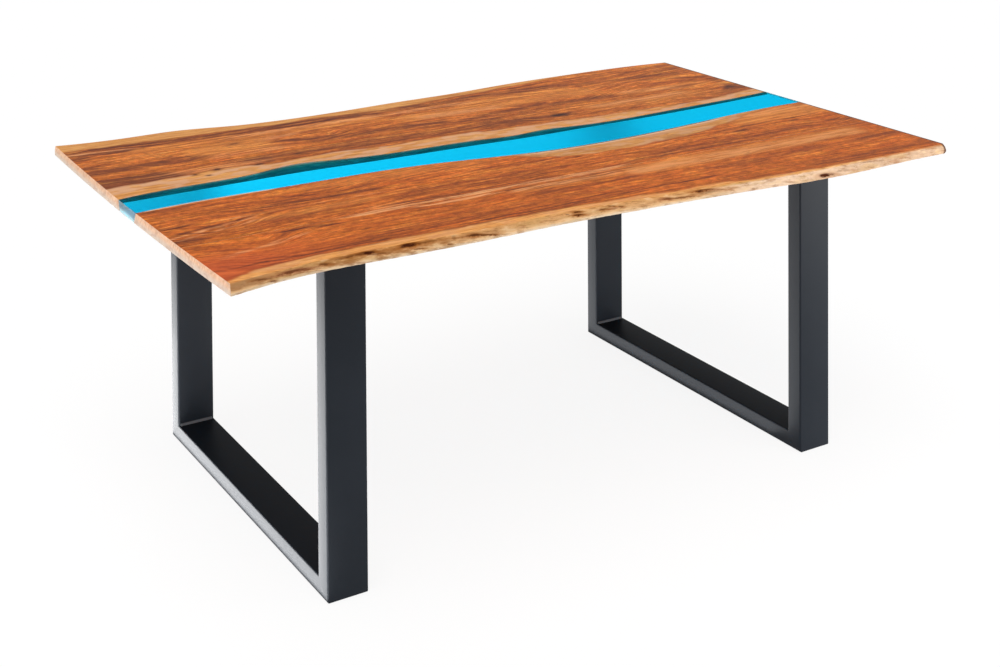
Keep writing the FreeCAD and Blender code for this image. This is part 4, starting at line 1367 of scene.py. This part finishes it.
def make_camera(stage):
    """The camera, hung from a rig that holds its back upright."""
    forward = Vector((math.sin(CAMERA_TURN) * math.cos(CAMERA_TILT),
                      math.cos(CAMERA_TURN) * math.cos(CAMERA_TILT), -math.sin(CAMERA_TILT)))
    level = Vector((math.cos(CAMERA_TURN), -math.sin(CAMERA_TURN), 0.0))
    upright = level.cross(forward)
    right = level * math.cos(CAMERA_ROLL) + upright * math.sin(CAMERA_ROLL)
    up = upright * math.cos(CAMERA_ROLL) - level * math.sin(CAMERA_ROLL)
    sight = right * CAMERA_AIM[0] + up * CAMERA_AIM[1] + forward * CAMERA_AIM[2]
    back = -sight.normalized()
    data = bpy.data.cameras.new("table_camera")
    data.sensor_fit = "HORIZONTAL"
    data.sensor_width = SENSOR_MILLIMETRES
    data.lens = LENS_MILLIMETRES
    camera = place_object("table_camera", data)
    camera.parent = place_object("camera_rig", None)
    place = Vector(stage.camera_place)
    camera.matrix_parent_inverse = Matrix((
        (right.x, up.x, back.x, place.x),
        (right.y, up.y, back.y, place.y),
        (right.z, up.z, back.z, place.z),
        (0, 0, 0, 1),
    ))
    bpy.context.scene.camera = camera


def hang_lamp(name, data, toward):
    """A lamp that shines one way."""
    lamp = place_object(name, data)
    lamp.rotation_mode = "QUATERNION"
    lamp.rotation_quaternion = Vector(toward).to_track_quat("-Z", "Y")
    return lamp


def make_sun(name, toward, strength, spread_degrees):
    """A broad soft light from one direction."""
    data = bpy.data.lights.new(name, "SUN")
    data.energy = strength
    data.angle = math.radians(spread_degrees)
    hang_lamp(name, data, toward)


def make_panel(name, place, toward, size, watts, only_in_gloss=False):
    """A soft panel of light, hidden from the camera, that faces one way. It can show in glossy surfaces
    alone, and then adds no light to any colour."""
    data = bpy.data.lights.new(name, "AREA")
    data.energy = watts
    data.shape = "RECTANGLE"
    data.size, data.size_y = size
    lamp = hang_lamp(name, data, toward)
    lamp.location = place
    lamp.visible_camera = False
    lamp.visible_transmission = False
    lamp.visible_diffuse = not only_in_gloss


def seen_directly(n):
    """1 for camera, glossy and transmission rays."""
    path = n.tree.nodes.new("ShaderNodeLightPath")
    return n.highest(path.outputs["Is Camera Ray"], path.outputs["Is Glossy Ray"],
                     path.outputs["Is Transmission Ray"])


FLOOR_REACH = 60.0
FLOOR_SQUARES = 24
FLOOR_TONE = 0.82               # of the floor, for the soft light that it throws back at the table


def make_floor(stage):
    """A plain pale floor that looks white and keeps the table's shadow."""
    bm = bmesh.new()
    bmesh.ops.create_grid(bm, x_segments=FLOOR_SQUARES, y_segments=FLOOR_SQUARES, size=FLOOR_REACH)
    mesh = bpy.data.meshes.new("floor")
    bm.to_mesh(mesh)
    bm.free()
    place_object("floor", mesh)
    n = new_material("studio_floor")
    seen = seen_directly(n)
    mottle = n.noise(n.place, scale=3.0, detail=3.0)
    share = n.math("MULTIPLY_ADD", seen, stage.shadow - FLOOR_TONE, FLOOR_TONE)
    shade = n.math("MULTIPLY_ADD", n.swing(mottle, 0.02), share, share)
    lit = n.node("ShaderNodeBsdfDiffuse", {"Color": shade})
    glow = n.node("ShaderNodeEmission", {"Color": WHITE, "Strength": n.times(seen, 1 - stage.shadow)})
    mesh.materials.append(n.finish(Surface=n.node("ShaderNodeAddShader", (lit, glow))))


def make_world(stage):
    """White where it is seen, and a soft even light elsewhere."""
    n = Nodes(bpy.data.worlds.new("studio"), "ShaderNodeOutputWorld")
    strength = n.node("ShaderNodeMapRange", {"Value": seen_directly(n), "To Min": stage.ambient,
                                             "To Max": 1.0})
    background = n.node("ShaderNodeBackground", {"Color": WHITE, "Strength": strength})
    bpy.context.scene.world = n.finish(Surface=background)


# ================================================================ operators
class RIVER_TABLE_OT_boards(bpy.types.Operator):
    """Build the three boards of each slab"""
    bl_idname = "river_table.boards"
    bl_label = "Boards"
    bl_options = {"REGISTER", "UNDO"}

    def execute(self, context):
        wood = context.scene.river_table_wood
        back_outer, back_inner = glued_side(BACK_OUTER_JOINT), glued_side(BACK_INNER_JOINT)
        front_inner, front_outer = glued_side(FRONT_INNER_JOINT), glued_side(FRONT_OUTER_JOINT)
        front_and_back = {
            "back_outer_board": (back_outer, natural_side("back_outer_board", 1, BACK_OUTER_JOINT)),
            "back_middle_board": (back_inner, back_outer),
            "back_river_board": (natural_side("back_river_board", -1, BACK_INNER_JOINT), back_inner),
            "front_river_board": (front_inner, natural_side("front_river_board", 1, FRONT_INNER_JOINT)),
            "front_middle_board": (front_outer, front_inner),
            "front_outer_board": (natural_side("front_outer_board", -1, FRONT_OUTER_JOINT), front_outer),
        }
        bank = make_bank()
        for name, (front, back) in front_and_back.items():
            make_board(name, front, back, wood, bank)
        return {"FINISHED"}


class RIVER_TABLE_OT_river(bpy.types.Operator):
    """Cast the resin river between the two slabs"""
    bl_idname = "river_table.river"
    bl_label = "River"
    bl_options = {"REGISTER", "UNDO"}

    def execute(self, context):
        front = natural_side("front_river_board", 1, FRONT_INNER_JOINT)
        back = natural_side("back_river_board", -1, BACK_INNER_JOINT)
        make_river(front, back, context.scene.river_table_resin, context.scene.river_table_wood)
        return {"FINISHED"}


class RIVER_TABLE_OT_leg_frames(bpy.types.Operator):
    """Build the tubes and welds of both leg frames, and finish their mount plates"""
    bl_idname = "river_table.leg_frames"
    bl_label = "Leg frames"
    bl_options = {"REGISTER", "UNDO"}

    def execute(self, context):
        steel = context.scene.river_table_steel
        coat = make_coat("powder_coat", tuple(steel.coat))
        # The beads' lighter coat is painted highlight.
        bead_highlight_coat = make_coat("bead_highlight_coat", tuple(steel.bead_highlight_coat))
        for side in FRAME_SIDES:
            make_leg_tubes(side, steel, coat)
            make_welds(side + "_corner_welds", 1, steel, bead_highlight_coat)
            make_welds(side + "_plate_welds", -1, steel, bead_highlight_coat)
            for end in FRAME_ENDS:
                dress_node(side + "_" + end + "_mount_plate", coat, 0.0005)
        return {"FINISHED"}


class RIVER_TABLE_OT_fasteners(bpy.types.Operator):
    """Build the bolts, and finish the washers, inserts and floor glides"""
    bl_idname = "river_table.fasteners"
    bl_label = "Fasteners and glides"
    bl_options = {"REGISTER", "UNDO"}

    def execute(self, context):
        steel = context.scene.river_table_steel
        zinc = make_metal("zinc_plate", tuple(steel.zinc), 0.28)
        brass = make_metal("insert_brass", tuple(steel.brass), 0.22)
        rubber = make_rubber(steel)
        for side in FRAME_SIDES:
            make_bolts(side, zinc)
            dress_node(side + "_plate_washers", zinc, 0.0002)
            dress_node(side + "_threaded_inserts", brass)
            dress_node(side + "_floor_glides", rubber, 0.0004)
        return {"FINISHED"}


class RIVER_TABLE_OT_stage(bpy.types.Operator):
    """Set up the floor, the light and the camera"""
    bl_idname = "river_table.stage"
    bl_label = "Stage"
    bl_options = {"REGISTER", "UNDO"}

    def execute(self, context):
        stage = context.scene.river_table_stage
        make_camera(stage)
        make_floor(stage)
        make_world(stage)
        make_sun("key_light", (0.34, 0.18, -0.92), 2.05, 50)
        for name, place, size, watts in (("low_left_panel", (-1.22, 0.10, 0.004), (0.97, 1.70), 65.0),
                                         ("low_back_panel", (-1.22, 1.27, 0.004), (0.97, 0.64), 14.0),
                                         ("low_middle_panel", (0.135, 0.95, 0.004), (0.97, 2.5), 42.0)):
            make_panel(name, place, UPWARD, size, watts, only_in_gloss=True)
        make_panel("left_panel", (-2.40, -0.10, 0.55), (1.0, 0.0, 0.0), (0.80, 1.60), 5.5)
        make_panel("front_panel", (1.80, -1.60, 0.34), (-0.62, 0.78, 0.0), (1.20, 0.60), 17.5)
        context.scene.view_settings.view_transform = "Standard"
        return {"FINISHED"}


OPERATORS = (RIVER_TABLE_OT_boards, RIVER_TABLE_OT_river, RIVER_TABLE_OT_leg_frames,
             RIVER_TABLE_OT_fasteners, RIVER_TABLE_OT_stage)
GROUPS = {
    "river_table_wood": RiverTableWood,
    "river_table_resin": RiverTableResin,
    "river_table_steel": RiverTableSteel,
    "river_table_stage": RiverTableStage,
}


class RIVER_TABLE_PT_panel(bpy.types.Panel):
    """Every piece of the table, with its sizes and colours"""
    bl_idname = "RIVER_TABLE_PT_panel"
    bl_label = "River table"
    bl_space_type = "VIEW_3D"
    bl_region_type = "UI"
    bl_category = "River table"

    def draw(self, context):
        for operator in OPERATORS:
            self.layout.operator(operator.bl_idname)
        for attribute, group in GROUPS.items():
            box = self.layout.box()
            box.label(text=group.__doc__)
            for name in group.__annotations__:
                box.prop(getattr(context.scene, attribute), name)


def register():
    for attribute, group in GROUPS.items():
        bpy.utils.register_class(group)
        setattr(bpy.types.Scene, attribute, PointerProperty(type=group))
    for item in (*OPERATORS, RIVER_TABLE_PT_panel):
        bpy.utils.register_class(item)


def unregister():
    for item in (RIVER_TABLE_PT_panel, *reversed(OPERATORS)):
        bpy.utils.unregister_class(item)
    for attribute, group in reversed(GROUPS.items()):
        delattr(bpy.types.Scene, attribute)
        bpy.utils.unregister_class(group)


def main():
    """Build the table and its stage."""
    register()
    bpy.ops.river_table.boards()
    bpy.ops.river_table.river()
    bpy.ops.river_table.leg_frames()
    bpy.ops.river_table.fasteners()
    bpy.ops.river_table.stage()


if __name__ == "__main__":
    main()
